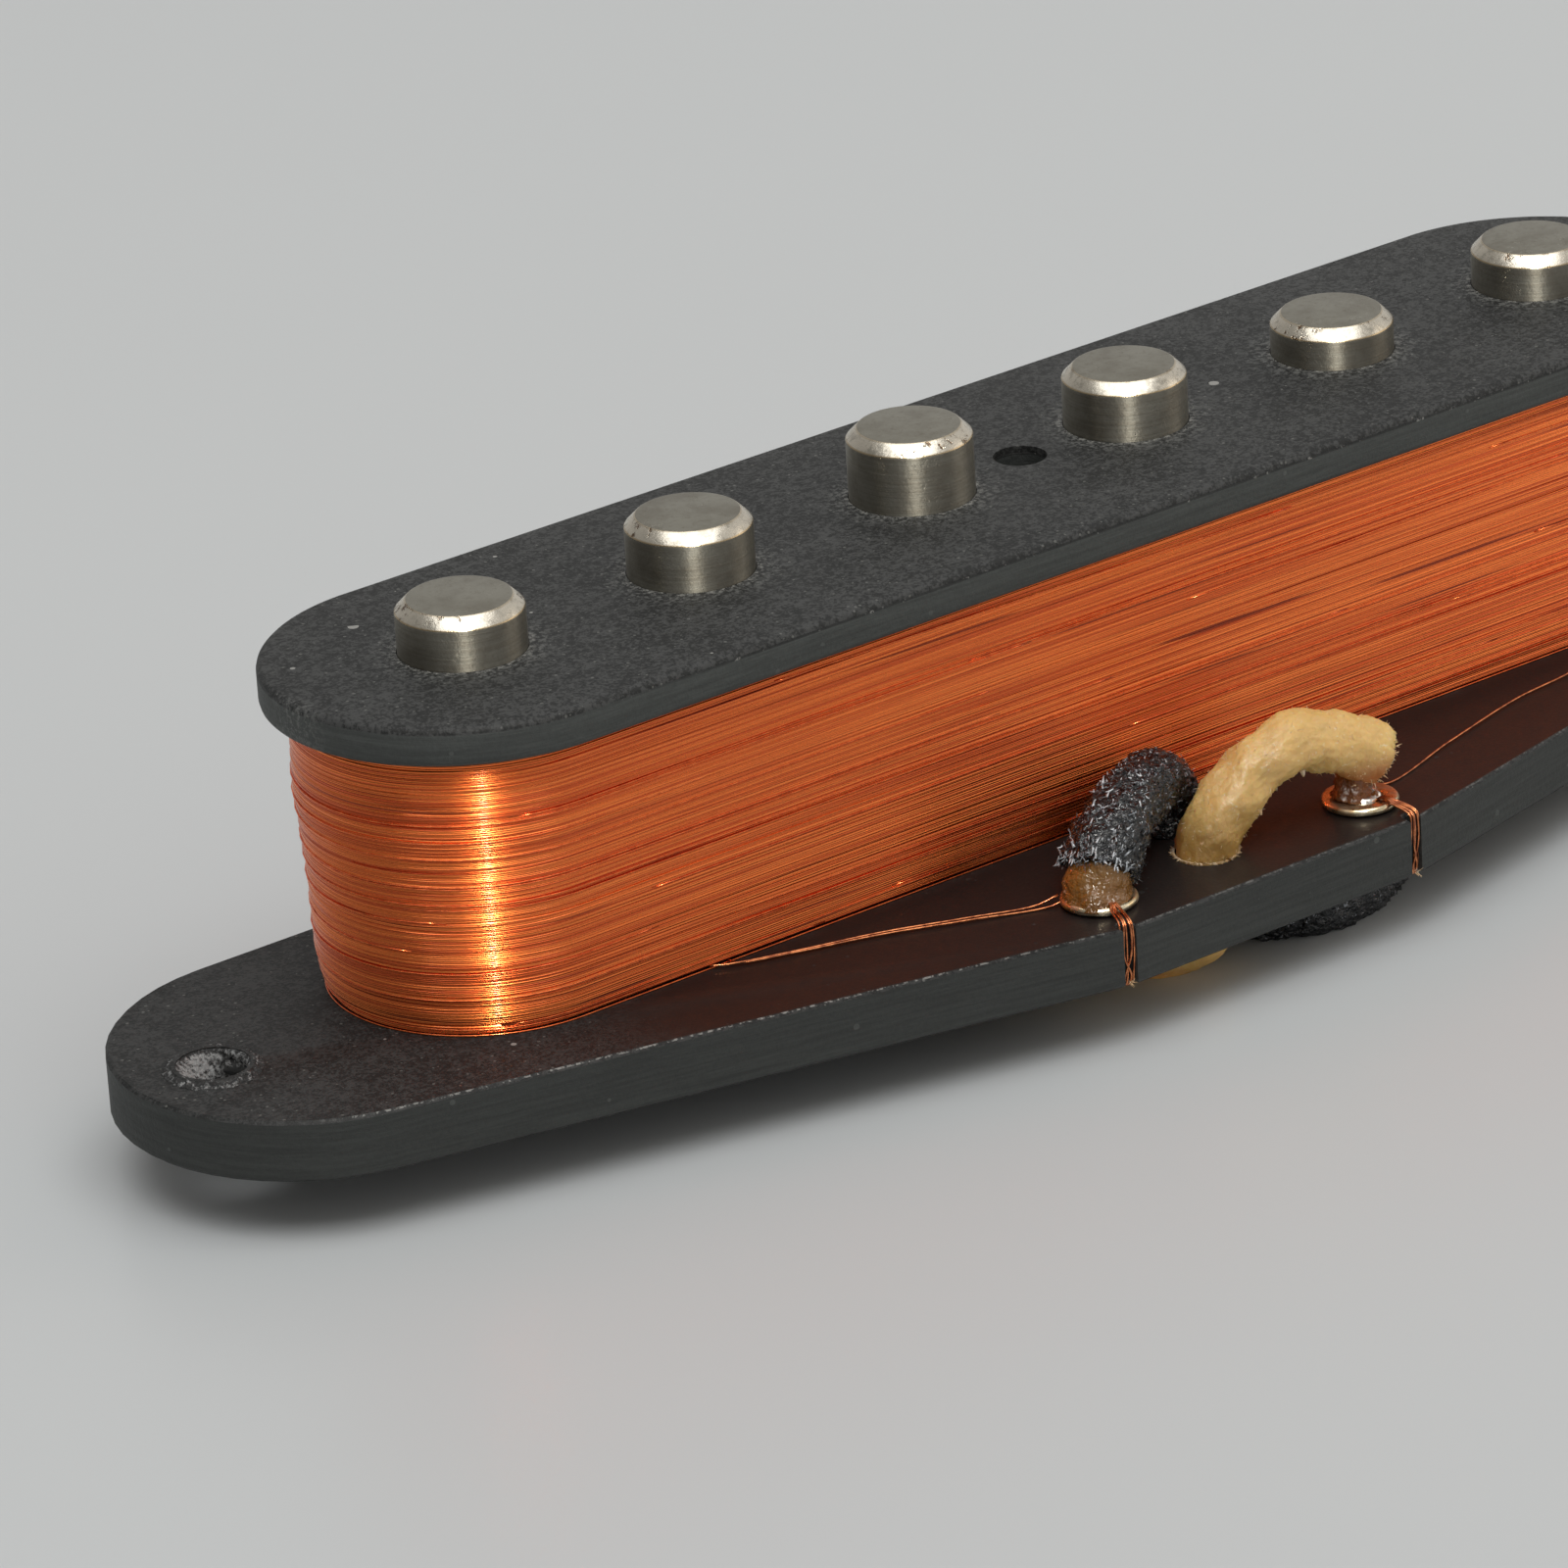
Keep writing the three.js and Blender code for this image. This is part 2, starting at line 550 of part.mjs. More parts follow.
function addLead(name, route, eyelet, coverColor, wrapColor) {
  const inwards = route[1].clone().sub(route[0]).normalize();
  const socket = barAlong(route[0], inwards, -OVERRUN, WRAP_SOCKET, WRAP_DIAMETER + 2 * PIECE_GAP, EYELET_SIDES / 2);
  const cover = toSolid(tube(route, LEAD_DIAMETER, LEAD_SIDES, 60));
  addPiece(`${name}_lead`, cutAway(cover, socket, floorSlab, clinchDent), coverColor, 0.95, 0);

  const core = coreRoute(route[0], inwards, eyelet);
  const bored = toSolid(tube(core, CORE_DIAMETER + 2 * PIECE_GAP, LEAD_SIDES, 12));
  const wrap = barAlong(route[0], inwards, -WRAP_SHOWS, WRAP_SOCKET - PIECE_GAP, WRAP_DIAMETER, EYELET_SIDES / 2);
  const through = barAlong(route[0], inwards, -OVERRUN, WRAP_SOCKET + OVERRUN, CORE_DIAMETER + 2 * PIECE_GAP, LEAD_SIDES);
  addPiece(`${name}_lead_inner_wrap`, cutAway(wrap, through, bored), wrapColor, 0.9, 0);
  addPiece(`${name}_lead_conductor`, tube(core, CORE_DIAMETER, LEAD_SIDES, 12), "#b9b8b2", 0.3, 1);
}

const [leftEyeletPlace, rightEyeletPlace] = eyeletPlaces;
const creamRoute = heldRoute(CREAM_ARCH, CREAM_UNDER_ROUTE, CREAM_EXIT_Y);
const blackRoute = heldRoute(BLACK_ARCH, BLACK_UNDER_ROUTE, BLACK_EXIT_Y);
addLead("black", blackRoute, leftEyeletPlace, "#2b2d31", "#8f7440");
addLead("cream", creamRoute, rightEyeletPlace, "#c4a46a", "#d9c8a0");

// Solder: fills each eyelet round the lead's wire and the bundle's two ends

eyeletPlaces.forEach(({ side, centre, toNotch }) => {
  const topZ = DECK_Z + EYELET_FIT + EYELET_FLANGE_HEIGHT - SOLDER_BELOW_RIM;
  const lowZ = UNDERSIDE_Z - OVERRUN;
  const highZ = DECK_Z + OVERRUN;
  const corePlace = centre.clone().addScaledVector(toNotch, -CORE_OFF_CENTRE);
  const bundlePlace = centre.clone().addScaledVector(toNotch, EYELET_BORE / 2 - BUNDLE_DIAMETER / 2 - PIECE_GAP);
  const plug = upright(centre.x, centre.y, UNDERSIDE_Z, topZ, EYELET_BORE - 2 * PIECE_GAP, EYELET_SIDES);
  const solder = cutAway(
    plug,
    upright(corePlace.x, corePlace.y, lowZ, highZ, CORE_DIAMETER + 2 * PIECE_GAP, LEAD_SIDES * 2),
    upright(bundlePlace.x, bundlePlace.y, lowZ, highZ, BUNDLE_DIAMETER + 2 * PIECE_GAP, LEAD_SIDES * 2),
  );
  addPiece(`solder_${sideNames[side]}`, solder, "#9c8350", 0.35, 0.8);
});

// Start and finish wires: along the plate's top between the coil's foot and the eyelets

const strandZ = STRAND_DIAMETER / 2 + PIECE_GAP;
const footReach = ROD_REACH + COIL_BUILD * COIL_BUILD_SHARES[0];
const START_WIRE_ROUTE = [[-19.3, -6.4], [-17.2, -7.2], [-14, -8.2], [-10.9, -9.5], [-7.9, -10.68]];
const startRoute = [
  [START_WIRE_ROUTE[0][0] - STRAND_DIAMETER, PIECE_GAP - footReach, strandZ],
  ...START_WIRE_ROUTE.map(([x, y]) => [x, y, strandZ]),
];
addPiece("start_wire", tube(asVectors(startRoute, DECK_Z), STRAND_DIAMETER, WIRE_SIDES, 18), "#c8743a", 0.35, 0.6);

const FINISH_WIRE_ROUTE = [[8.1, -10.98], [12.5, -9.7], [17.2, -8.4], [20.2, -8], [23.3, -7.2]];
const finishEnd = winding[0];
const finishRoute = [
  ...FINISH_WIRE_ROUTE.map(([x, y]) => [x, y, strandZ]),
  [finishEnd.x - 2 * STRAND_DIAMETER - PIECE_GAP, finishEnd.y - STRAND_DIAMETER, finishEnd.z - DECK_Z],
  [finishEnd.x - PIECE_GAP, finishEnd.y - STRAND_DIAMETER / 2, finishEnd.z - DECK_Z],
];
addPiece("finish_wire", tube(asVectors(finishRoute, DECK_Z), STRAND_DIAMETER, WIRE_SIDES, 18), "#b4532a", 0.35, 0.6);

// Put-away leads: two flat spirals one on the other, held by a strap tie, their stripped ends in the middle

const TURN_PITCH = LEAD_DIAMETER + TURN_GAP;
const loopSteps = Math.round(LOOPS * LOOP_STEPS);
const tieAngle = BLACK_LOOPS_ANGLE + Math.PI;
const tieLift = TIE_THICKNESS + 3 * PIECE_GAP;

function loopPoints(startAngle, axisZ) {
  const points = [];
  for (let step = 0; step <= loopSteps; step++) {
    const angle = startAngle + 2 * Math.PI * step / LOOP_STEPS;
    const ending = Math.max(step + END_DRAW_STEPS - loopSteps, 0) / END_DRAW_STEPS;
    const radius = LOOP_RADIUS - TURN_PITCH * step / LOOP_STEPS - LEAD_DIAMETER * END_DRAW_SHARE * ending ** 2;
    const turnsOffTie = THREE.MathUtils.euclideanModulo((angle - tieAngle) / (2 * Math.PI) + 0.5, 1) - 0.5;
    const near = Math.max(1 - Math.abs(turnsOffTie) / TIE_SPREAD_SHARE, 0);
    const lift = tieLift * Math.sin(near * Math.PI / 2) ** 2;
    const x = LOOPS_CENTRE_X + radius * Math.cos(angle);
    const y = LOOPS_CENTRE_Y + radius * Math.sin(angle);
    points.push(new THREE.Vector3(x, y, axisZ + lift));
  }
  return withStraightEnds(points, LEAD_DIAMETER);
}

function addFreeLead(name, startAngle, axisZ, exitY, freeRoute, color) {
  const loops = loopPoints(startAngle, axisZ);
  console.log(`${name} lead's coil: least gap ${leastGap(loops, LOOP_STEPS, LEAD_DIAMETER).toFixed(3)} mm`);
  addPiece(`${name}_lead_coil`, mitredTube(loops, LEAD_DIAMETER, LOOP_SIDES), color, 0.95, 0);

  const into = loops[1].clone().sub(loops[0]).normalize();
  const run = [
    new THREE.Vector3(BOTTOM_HALF_LENGTH, exitY, LEAD_AXIS_Z),
    ...asVectors(freeRoute),
    loops[0].clone().addScaledVector(into, -LEAD_DIAMETER),
    loops[0].clone().addScaledVector(into, -LEAD_GAP),
  ];
  const cover = toSolid(tube(run, LEAD_DIAMETER, LEAD_SIDES, 16));
  addPiece(`${name}_lead_run`, cutAway(cover, floorSlab), color, 0.95, 0);

  const end = loops.at(-1);
  const outwards = end.clone().sub(loops.at(-2)).normalize();
  const tip = barAlong(end, outwards, LEAD_GAP, LEAD_GAP + TIP_LENGTH, CORE_DIAMETER, LEAD_SIDES);
  addPiece(`${name}_lead_tip`, tip, "#b9b8b2", 0.3, 1);
  return loops;
}

const lowAxisZ = LEAD_DIAMETER / 2;
const highAxisZ = lowAxisZ + LEAD_DIAMETER + LEAD_GAP;
addFreeLead("black", BLACK_LOOPS_ANGLE, highAxisZ, BLACK_EXIT_Y, BLACK_FREE_ROUTE, "#2b2d31");
addFreeLead("cream", CREAM_LOOPS_ANGLE, lowAxisZ, CREAM_EXIT_Y, CREAM_FREE_ROUTE, "#c4a46a");

// The tie goes round both spirals where each has two turns
function tieStrap() {
  const turnsIn = (startAngle) => THREE.MathUtils.euclideanModulo((tieAngle - startAngle) / (2 * Math.PI), 1);
  const turns = [BLACK_LOOPS_ANGLE, CREAM_LOOPS_ANGLE].map(turnsIn);
  const side = LEAD_DIAMETER / 2 + LEAD_GAP;
  const outer = LOOP_RADIUS - TURN_PITCH * Math.min(...turns) + side;
  const inner = LOOP_RADIUS - TURN_PITCH * (Math.max(...turns) + 1) - side;
  const roof = highAxisZ + tieLift + LEAD_DIAMETER / 2 + PIECE_GAP;
  const corner = LEAD_DIAMETER / 2;
  const loop = (grow, reversed) => {
    const [x0, x1, y0, y1] = [inner - grow, outer + grow, TIE_THICKNESS - grow, roof + grow];
    const r = corner * (grow > 0 ? 1 : 0.6);
    const quarter = Math.PI / 2;
    const points = [
      ...arcPoints(x1 - r, y0 + r, r, -quarter, 0, 3),
      ...arcPoints(x1 - r, y1 - r, r, 0, quarter, 3),
      ...arcPoints(x0 + r, y1 - r, r, quarter, 2 * quarter, 3),
      ...arcPoints(x0 + r, y0 + r, r, 2 * quarter, 3 * quarter, 3),
    ];
    return reversed ? points.reverse() : points;
  };
  const strap = new THREE.Shape(loop(TIE_THICKNESS, false));
  strap.holes.push(new THREE.Path(loop(0, true)));
  const geometry = new THREE.ExtrudeGeometry(strap, { depth: TIE_WIDTH, bevelEnabled: false, curveSegments: 1 });
  geometry.translate(0, 0, -TIE_WIDTH / 2);
  const outwards = new THREE.Vector3(Math.cos(tieAngle), Math.sin(tieAngle), 0);
  const up = new THREE.Vector3(0, 0, 1);
  const across = outwards.clone().cross(up);
  geometry.applyMatrix4(new THREE.Matrix4().makeBasis(outwards, up, across));
  geometry.translate(LOOPS_CENTRE_X, LOOPS_CENTRE_Y, 0);
  return geometry;
}
addPiece("lead_tie", tieStrap(), "#1f1f20", 0.7, 0);

const pickup = new THREE.Group();
pickup.add(assembly);
export default pickup;
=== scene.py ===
import math
import random

import bpy
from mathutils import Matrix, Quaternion, Vector, noise


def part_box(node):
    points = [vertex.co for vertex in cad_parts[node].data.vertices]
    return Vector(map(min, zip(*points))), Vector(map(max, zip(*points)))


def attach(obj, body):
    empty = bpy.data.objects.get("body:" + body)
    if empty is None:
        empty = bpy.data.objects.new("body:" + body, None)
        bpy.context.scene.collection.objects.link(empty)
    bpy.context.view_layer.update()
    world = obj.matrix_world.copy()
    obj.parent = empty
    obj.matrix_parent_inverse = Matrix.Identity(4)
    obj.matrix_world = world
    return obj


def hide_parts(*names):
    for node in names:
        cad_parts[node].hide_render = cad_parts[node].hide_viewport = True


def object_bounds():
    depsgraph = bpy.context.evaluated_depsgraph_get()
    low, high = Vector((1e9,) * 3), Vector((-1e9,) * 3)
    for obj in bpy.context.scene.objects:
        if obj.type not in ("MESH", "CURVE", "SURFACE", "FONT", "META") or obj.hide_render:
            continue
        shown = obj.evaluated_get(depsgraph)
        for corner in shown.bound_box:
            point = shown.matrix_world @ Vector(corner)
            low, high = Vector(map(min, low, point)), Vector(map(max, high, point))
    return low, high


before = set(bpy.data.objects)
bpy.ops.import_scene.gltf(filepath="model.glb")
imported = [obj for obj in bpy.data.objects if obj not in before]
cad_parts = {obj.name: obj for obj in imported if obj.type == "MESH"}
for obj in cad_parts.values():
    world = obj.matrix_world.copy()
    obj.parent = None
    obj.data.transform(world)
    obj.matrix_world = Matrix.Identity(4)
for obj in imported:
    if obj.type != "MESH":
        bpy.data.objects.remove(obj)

# A single-coil guitar pickup: six rod magnets held by two fibre plates, a coil of fine enamelled wire round
# the rods, two eyelets, and two cloth-covered leads that come up through the bottom plate and over into them.
# Millimetres times MM are metres. +X runs along the rods, the eyelets are on the -Y side, +Z is up.
MM = 0.001
cad_low, cad_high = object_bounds()


# Camera and stage: the photograph's viewing angle, a pale floor and soft lamps. The camera stands near the
# left end, so the right ear and the leads' put-away coils are past the picture's right edge.
CAMERA_LENS = 207.03
CAMERA_SENSOR = 36
CAMERA_TARGET = Vector((-11.98, 3.2, 7.68)) * MM
CAMERA_DISTANCE = 336.8 * MM
CAMERA_AZIMUTH = -36.55
CAMERA_ELEVATION = 23.37
CAMERA_ROLL = math.radians(-3.52)
NEAREST_SEEN = 10 * MM


def new_object(name, data):
    made = bpy.data.objects.new(name, data)
    bpy.context.collection.objects.link(made)
    return made


def aim(made, azimuth, elevation, distance, target=Vector()):
    """Stands a camera or lamp off from a target and turns it there. Angles are in degrees, 0 is the front."""
    azimuth, elevation = math.radians(azimuth), math.radians(elevation)
    level = math.cos(elevation)
    towards = Vector((math.sin(azimuth) * level, -math.cos(azimuth) * level, math.sin(elevation)))
    made.location = target + towards * distance
    made.rotation_mode = "QUATERNION"
    made.rotation_quaternion = (-towards).to_track_quat("-Z", "Y")


camera = new_object("camera", bpy.data.cameras.new("camera"))
camera.data.lens = CAMERA_LENS
camera.data.sensor_width = CAMERA_SENSOR
camera.data.clip_start = NEAREST_SEEN
aim(camera, CAMERA_AZIMUTH, CAMERA_ELEVATION, CAMERA_DISTANCE, CAMERA_TARGET)
camera.rotation_quaternion = camera.rotation_quaternion @ Quaternion((0, 0, 1), CAMERA_ROLL)
bpy.context.scene.camera = camera
bpy.context.scene.view_settings.view_transform = "Standard"


def feed(tree, socket, value):
    """Links a field to a socket, or sets the socket to a plain number, place or colour."""
    if isinstance(value, Field):
        tree.links.new(value.socket, socket)
    else:
        socket.default_value = (*value, 1) if socket.type == "RGBA" else value


def new_node(tree, kind, inputs, output=0, **settings):
    """Adds a node and gives back one of its outputs as a field."""
    node = tree.nodes.new(kind)
    for key, value in settings.items():
        setattr(node, key, value)
    for socket, value in inputs.items():
        feed(tree, node.inputs[socket], value)
    return Field(tree, node.outputs[output])


class Field:
    """A number, colour or place that changes over a surface. Arithmetic on a number adds math nodes."""

    def __init__(self, tree, socket):
        self.tree = tree
        self.socket = socket

    def maths(self, operation, *others):
        return new_node(self.tree, "ShaderNodeMath", dict(enumerate((self, *others))), operation=operation)

    def __add__(self, other):
        return self.maths("ADD", other)

    def __sub__(self, other):
        return self.maths("SUBTRACT", other)

    def __rsub__(self, other):
        return self * -1 + other

    def __mul__(self, other):
        return self.maths("MULTIPLY", other)

    def axes(self, unit=1):
        """The place's x, y and z, counted in units."""
        return [new_node(self.tree, "ShaderNodeSeparateXYZ", {0: self}, i) * (1 / unit) for i in range(3)]

    def ramp(self, low, high):
        """0 where this is at low, 1 where it is at high, smooth between."""
        return new_node(self.tree, "ShaderNodeMapRange", {"Value": self, "From Min": low, "From Max": high},
                        interpolation_type="SMOOTHSTEP")

    def mix(self, none, full):
        """The first colour where this is 0, the second where it is 1."""
        return new_node(self.tree, "ShaderNodeMix", {0: self, 6: none, 7: full}, 2, data_type="RGBA")

    def noise(self, scale, detail=2, roughness=0.5, stretch=None):
        """Cloudy noise at this place, scale in cycles for each unit of it."""
        place = new_node(self.tree, "ShaderNodeMapping", {0: self, "Scale": stretch}) if stretch else self
        return new_node(self.tree, "ShaderNodeTexNoise",
                        {"Vector": place, "Scale": scale, "Detail": detail, "Roughness": roughness})


class Finish:
    """A material in the making. Its noise, its places and its depths are in millimetres."""

    def __init__(self, name):
        self.material = bpy.data.materials.new(name)
        self.material.use_nodes = True
        self.tree = self.material.node_tree
        self.where = new_node(self.tree, "ShaderNodeTexCoord", {}, "Object")

    def axes(self):
        return self.where.axes(MM)

    def noise(self, per_millimetre, detail=2, roughness=0.5, stretch=None):
        return self.where.noise(per_millimetre / MM, detail, roughness, stretch)

    def set(self, **values):
        """Feeds the shader's sockets, named with _ for a space."""
        for name, value in values.items():
            feed(self.tree, self.tree.nodes["Principled BSDF"].inputs[name.replace("_", " ")], value)

    def bump(self, height, strength, depth):
        self.set(Normal=new_node(self.tree, "ShaderNodeBump",
                                 {"Height": height, "Strength": strength, "Distance": depth * MM}))

    def effect(self, group, **values):
        """Places a node group in the material and gives back its outputs."""
        node = self.tree.nodes.new("ShaderNodeGroup")
        node.node_tree = group
        for name, value in values.items():
            feed(self.tree, node.inputs[name], value)
        return [Field(self.tree, socket) for socket in node.outputs]


def toned(colour, tone):
    return tuple(tone * part for part in colour)


def select_only(*chosen):
    """Leaves edit mode and selects these objects alone. The first is the one that tools work on."""
    if bpy.context.mode != "OBJECT":
        bpy.ops.object.mode_set(mode="OBJECT")
    bpy.ops.object.select_all(action="DESELECT")
    for made in chosen:
        made.select_set(True)
    if chosen:
        bpy.context.view_layer.objects.active = chosen[0]


FLOOR_SPAN = 8.0
FLOOR_COLOUR = (0.672, 0.69, 0.69)
FLOOR_CLOUDS = 0.985
sheet = Finish("floor_sheet")
clouds = sheet.noise(0.009, 3).ramp(0.3, 0.7)
sheet.set(Base_Color=clouds.mix(FLOOR_COLOUR, toned(FLOOR_COLOUR, FLOOR_CLOUDS)), Roughness=0.34,
          Specular_IOR_Level=0.42)
select_only()
bpy.ops.mesh.primitive_plane_add(size=FLOOR_SPAN)
floor = bpy.context.object
floor.name = "floor"
floor.data.materials.append(sheet.material)


def add_lamp(name, azimuth, elevation, distance, size, radiance, colour):
    """A rectangular lamp that faces the pickup. Its power follows from how bright its face looks."""
    light = bpy.data.lights.new(name, "AREA")
    light.shape = "RECTANGLE"
    light.size, light.size_y = size
    light.energy = radiance * math.pi * light.size * light.size_y
    light.color = colour
    lamp = new_object(name, light)
    aim(lamp, azimuth, elevation, distance)
    return lamp


add_lamp("overhead_softbox", azimuth=-32, elevation=78, distance=1.2, size=(1.5, 1.0), radiance=1.74,
         colour=(0.98, 0.99, 1.0))
glint_strip = add_lamp("glint_strip", azimuth=-31, elevation=47, distance=0.8, size=(0.036, 0.42),
                       radiance=90, colour=(1, 0.97, 0.9))
glint_strip.visible_diffuse = False
add_lamp("right_card", azimuth=62, elevation=22, distance=0.4, size=(0.22, 0.16), radiance=1.1,
         colour=(1, 0.88, 0.74))

SKY_DIM = 0.16
SKY_BRIGHT = 0.6
SKY_COLOUR = (1.0, 0.985, 0.965)
world = bpy.data.worlds.new("studio")
bpy.context.scene.world = world
world.use_nodes = True
tree = world.node_tree
sideways, _, _ = new_node(tree, "ShaderNodeTexCoord", {}, "Generated").axes()
sky_level = sideways * ((SKY_BRIGHT - SKY_DIM) / 2) + (SKY_BRIGHT + SKY_DIM) / 2
feed(tree, tree.nodes["Background"].inputs["Strength"], sky_level)
feed(tree, tree.nodes["Background"].inputs["Color"], SKY_COLOUR)


# Free leads: waxed cotton braid over stranded tinned wire, one black and one cream. Each leaves the plate's
# right edge and lies put away in a flat coil, the black coil on the cream one. Each is made as one tube, with
# the braid along its own length.
LEAD_DIAMETER = 2.5
LEAD_AXIS_Z = 1.0
LEAD_STEP = 0.5
LEAD_SIDES = 28
TURN_PITCH = 2.95
LOOP_RADIUS = 15.85
LOOPS = 2.2
LOOP_STEPS = 24
LOOPS_CENTRE = (68, 1)
END_DRAW_SHARE = 0.9
END_DRAW_STEPS = 6
TIE_ANGLE = math.radians(45)
TIE_LIFT = 0.65
TIE_SPREAD_SHARE = 0.21
ROD_LINE_Y = 3.2
PLATE_END_X = -cad_low.x / MM
DECK_Z = 4.69
PRESSED_SHARE = 0.02

FREE_LEADS = {
    "black": dict(
        exit=(PLATE_END_X, -3.2, LEAD_AXIS_Z),
        route=[(43.9, -3.3, 1.35), (46.4, -3.8, 2.3), (48.9, -4.7, 3.4), (51.3, -5.9, 3.98)],
        loops_angle=math.radians(225), axis_z=4.05, length=0.194, seed=0),
    "cream": dict(
        exit=(PLATE_END_X, 3.6, LEAD_AXIS_Z),
        route=[(44.3, 3.5, 1.25), (47.3, 3, 1.27), (50, 1.7, 1.26)],
        loops_angle=math.radians(195), axis_z=1.25, length=0.191, seed=7.3),
}


def to_model(point):
    """From a place whose y counts from the row of rods to the model's."""
    return Vector((point[0], point[1] + ROD_LINE_Y, point[2]))


def lengths_along(line):
    lengths = [0]
    for a, b in zip(line, line[1:]):
        lengths.append(lengths[-1] + (b - a).length)
    return lengths


def smooth_line(points, spacing):
    """Points about this far apart on a centripetal Catmull-Rom curve through the given ones."""
    points = [Vector(point) for point in points]
    points = [points[0] * 2 - points[1], *points, points[-1] * 2 - points[-2]]
    fine = [points[1]]
    for a, b, c, d in zip(points, points[1:], points[2:], points[3:]):
        t1 = (b - a).length ** 0.5
        t2 = t1 + (c - b).length ** 0.5
        t3 = t2 + (d - c).length ** 0.5
        count = max(2, math.ceil((c - b).length / spacing * 4))
        for step in range(1, count + 1):
            t = t1 + (t2 - t1) * step / count
            bc = b.lerp(c, (t - t1) / (t2 - t1))
            abc = a.lerp(b, t / t1).lerp(bc, t / t2)
            bcd = bc.lerp(c.lerp(d, (t - t2) / (t3 - t2)), (t - t1) / (t3 - t1))
            fine.append(abc.lerp(bcd, (t - t1) / (t2 - t1)))
    along = lengths_along(fine)
    count = max(1, round(along[-1] / spacing))
    line = []
    i = 0
    for step in range(count + 1):
        distance = along[-1] * step / count
        while i < len(fine) - 2 and along[i + 1] < distance:
            i += 1
        share = (distance - along[i]) / max(along[i + 1] - along[i], 1e-9)
        line.append(fine[i].lerp(fine[i + 1], share))
    return line


def bearings_along(line):
    """For each point of a line, the heading there and two directions across it that don't twist."""
    bearings = []
    across = None
    for i in range(len(line)):
        heading = (line[min(i + 1, len(line) - 1)] - line[max(i - 1, 0)]).normalized()
        if across is None:
            across = heading.cross(Vector((0.1, 0.2, 1))).normalized()
        across = (across - heading * across.dot(heading)).normalized()
        bearings.append((heading, across, heading.cross(across)))
    return bearings


def spoke(bearing, turn):
    """The way straight out of a line, at a share of a turn round it."""
    angle = 2 * math.pi * turn
    return bearing[1] * math.cos(angle) + bearing[2] * math.sin(angle)


def shell_data(rings, marks, first=None, last=None):
    """Points, faces and UVs of a closed shell through rings of corners. u is the share of a turn and v the
    ring's mark. Each end closes on its point, or with one face where it has none."""
    sides = len(rings[0])
    points = [point for ring in rings for point in ring]
    faces, uvs = [], []
    for i in range(len(rings) - 1):
        for k in range(sides):
            a, b, beside = i * sides, (i + 1) * sides, (k + 1) % sides
            faces.append((a + k, a + beside, b + beside, b + k))
            left, right = k / sides, (k + 1) / sides
            uvs += [(left, marks[i]), (right, marks[i]), (right, marks[i + 1]), (left, marks[i + 1])]
    ends = ((0, marks[0], first, -1), (len(points) - sides, marks[-1], last, 1))
    for start, mark, end, order in ends:
        ring = list(range(start, start + sides))
        if end is None:
            faces.append(ring[::order])
            uvs += [(0, mark)] * sides
            continue
        points.append(end)
        for k in range(sides):
            faces.append([ring[k], ring[(k + 1) % sides], len(points) - 1][::order])
            uvs += [(k / sides, mark)] * 3
    return points, faces, uvs


def tube_rings(line, radius, sides):
    """A tube's rings and how far along it they are. radius is a number or a function of (millimetres along,
    share of a turn)."""
    marks = lengths_along(line)
    rings = []
    for centre, along, bearing in zip(line, marks, bearings_along(line)):
        turns = [k / sides for k in range(sides)]
        rings.append([centre + spoke(bearing, turn) * (radius(along, turn) if callable(radius) else radius)
                      for turn in turns])
    return rings, marks


def tube_data(line, radius, sides):
    return shell_data(*tube_rings(line, radius, sides), line[0], line[-1])


def join_data(parts):
    """One list of points, faces and UVs from several."""
    points, faces, uvs = [], [], []
    for more_points, more_faces, more_uvs in parts:
        faces += [[len(points) + corner for corner in face] for face in more_faces]
        points += more_points
        uvs += more_uvs
    return points, faces, uvs


def press_flat(points, floor_z):
    """Flattens what would go below a height, as cloth is where it rests."""
    for point in points:
        point.z = max(point.z, floor_z + PRESSED_SHARE * (point.z - floor_z))


def make_object(name, points, faces, uvs):
    """A mesh object at the origin, from points in millimetres and one (u, v) for each corner of each face."""
    mesh = bpy.data.meshes.new(name)
    mesh.from_pydata([Vector(point) * MM for point in points], [], faces)
    layer = mesh.uv_layers.new(name="along")
    for corner, uv in zip(layer.data, uvs):
        corner.uv = uv
    mesh.validate()
    mesh.polygons.foreach_set("use_smooth", [True] * len(mesh.polygons))
    return new_object(name, mesh)


def fit(piece, finish, slot, *stands_for):
    """A piece's last step: its material and body, and the CAD nodes that it stands for. slot is not used."""
    piece.data.materials.append(finish.material)
    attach(piece, "root")
    if stands_for:
        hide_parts(*stands_for)


def loop_line(start_angle, axis_z):
    """The axis of a flat spiral coil that lifts over the tie, with a straight end at both ends."""
    last = round(LOOPS * LOOP_STEPS)
    points = []
    for step in range(last + 1):
        angle = start_angle + 2 * math.pi * step / LOOP_STEPS
        ending = max(step + END_DRAW_STEPS - last, 0) / END_DRAW_STEPS
        drawn_in = TURN_PITCH * step / LOOP_STEPS + LEAD_DIAMETER * END_DRAW_SHARE * ending ** 2
        radius = LOOP_RADIUS - drawn_in
        turns_off_tie = ((angle - TIE_ANGLE) / (2 * math.pi) + 0.5) % 1 - 0.5
        near = max(1 - abs(turns_off_tie) / TIE_SPREAD_SHARE, 0)
        lift = TIE_LIFT * math.sin(near * math.pi / 2) ** 2
        points.append(Vector((LOOPS_CENTRE[0] + radius * math.cos(angle),
                              LOOPS_CENTRE[1] + radius * math.sin(angle), axis_z + lift)))
    first = points[0] + (points[0] - points[1]).normalized() * LEAD_DIAMETER
    end = points[-1] + (points[-1] - points[-2]).normalized() * LEAD_DIAMETER
    return [first, *points, end]


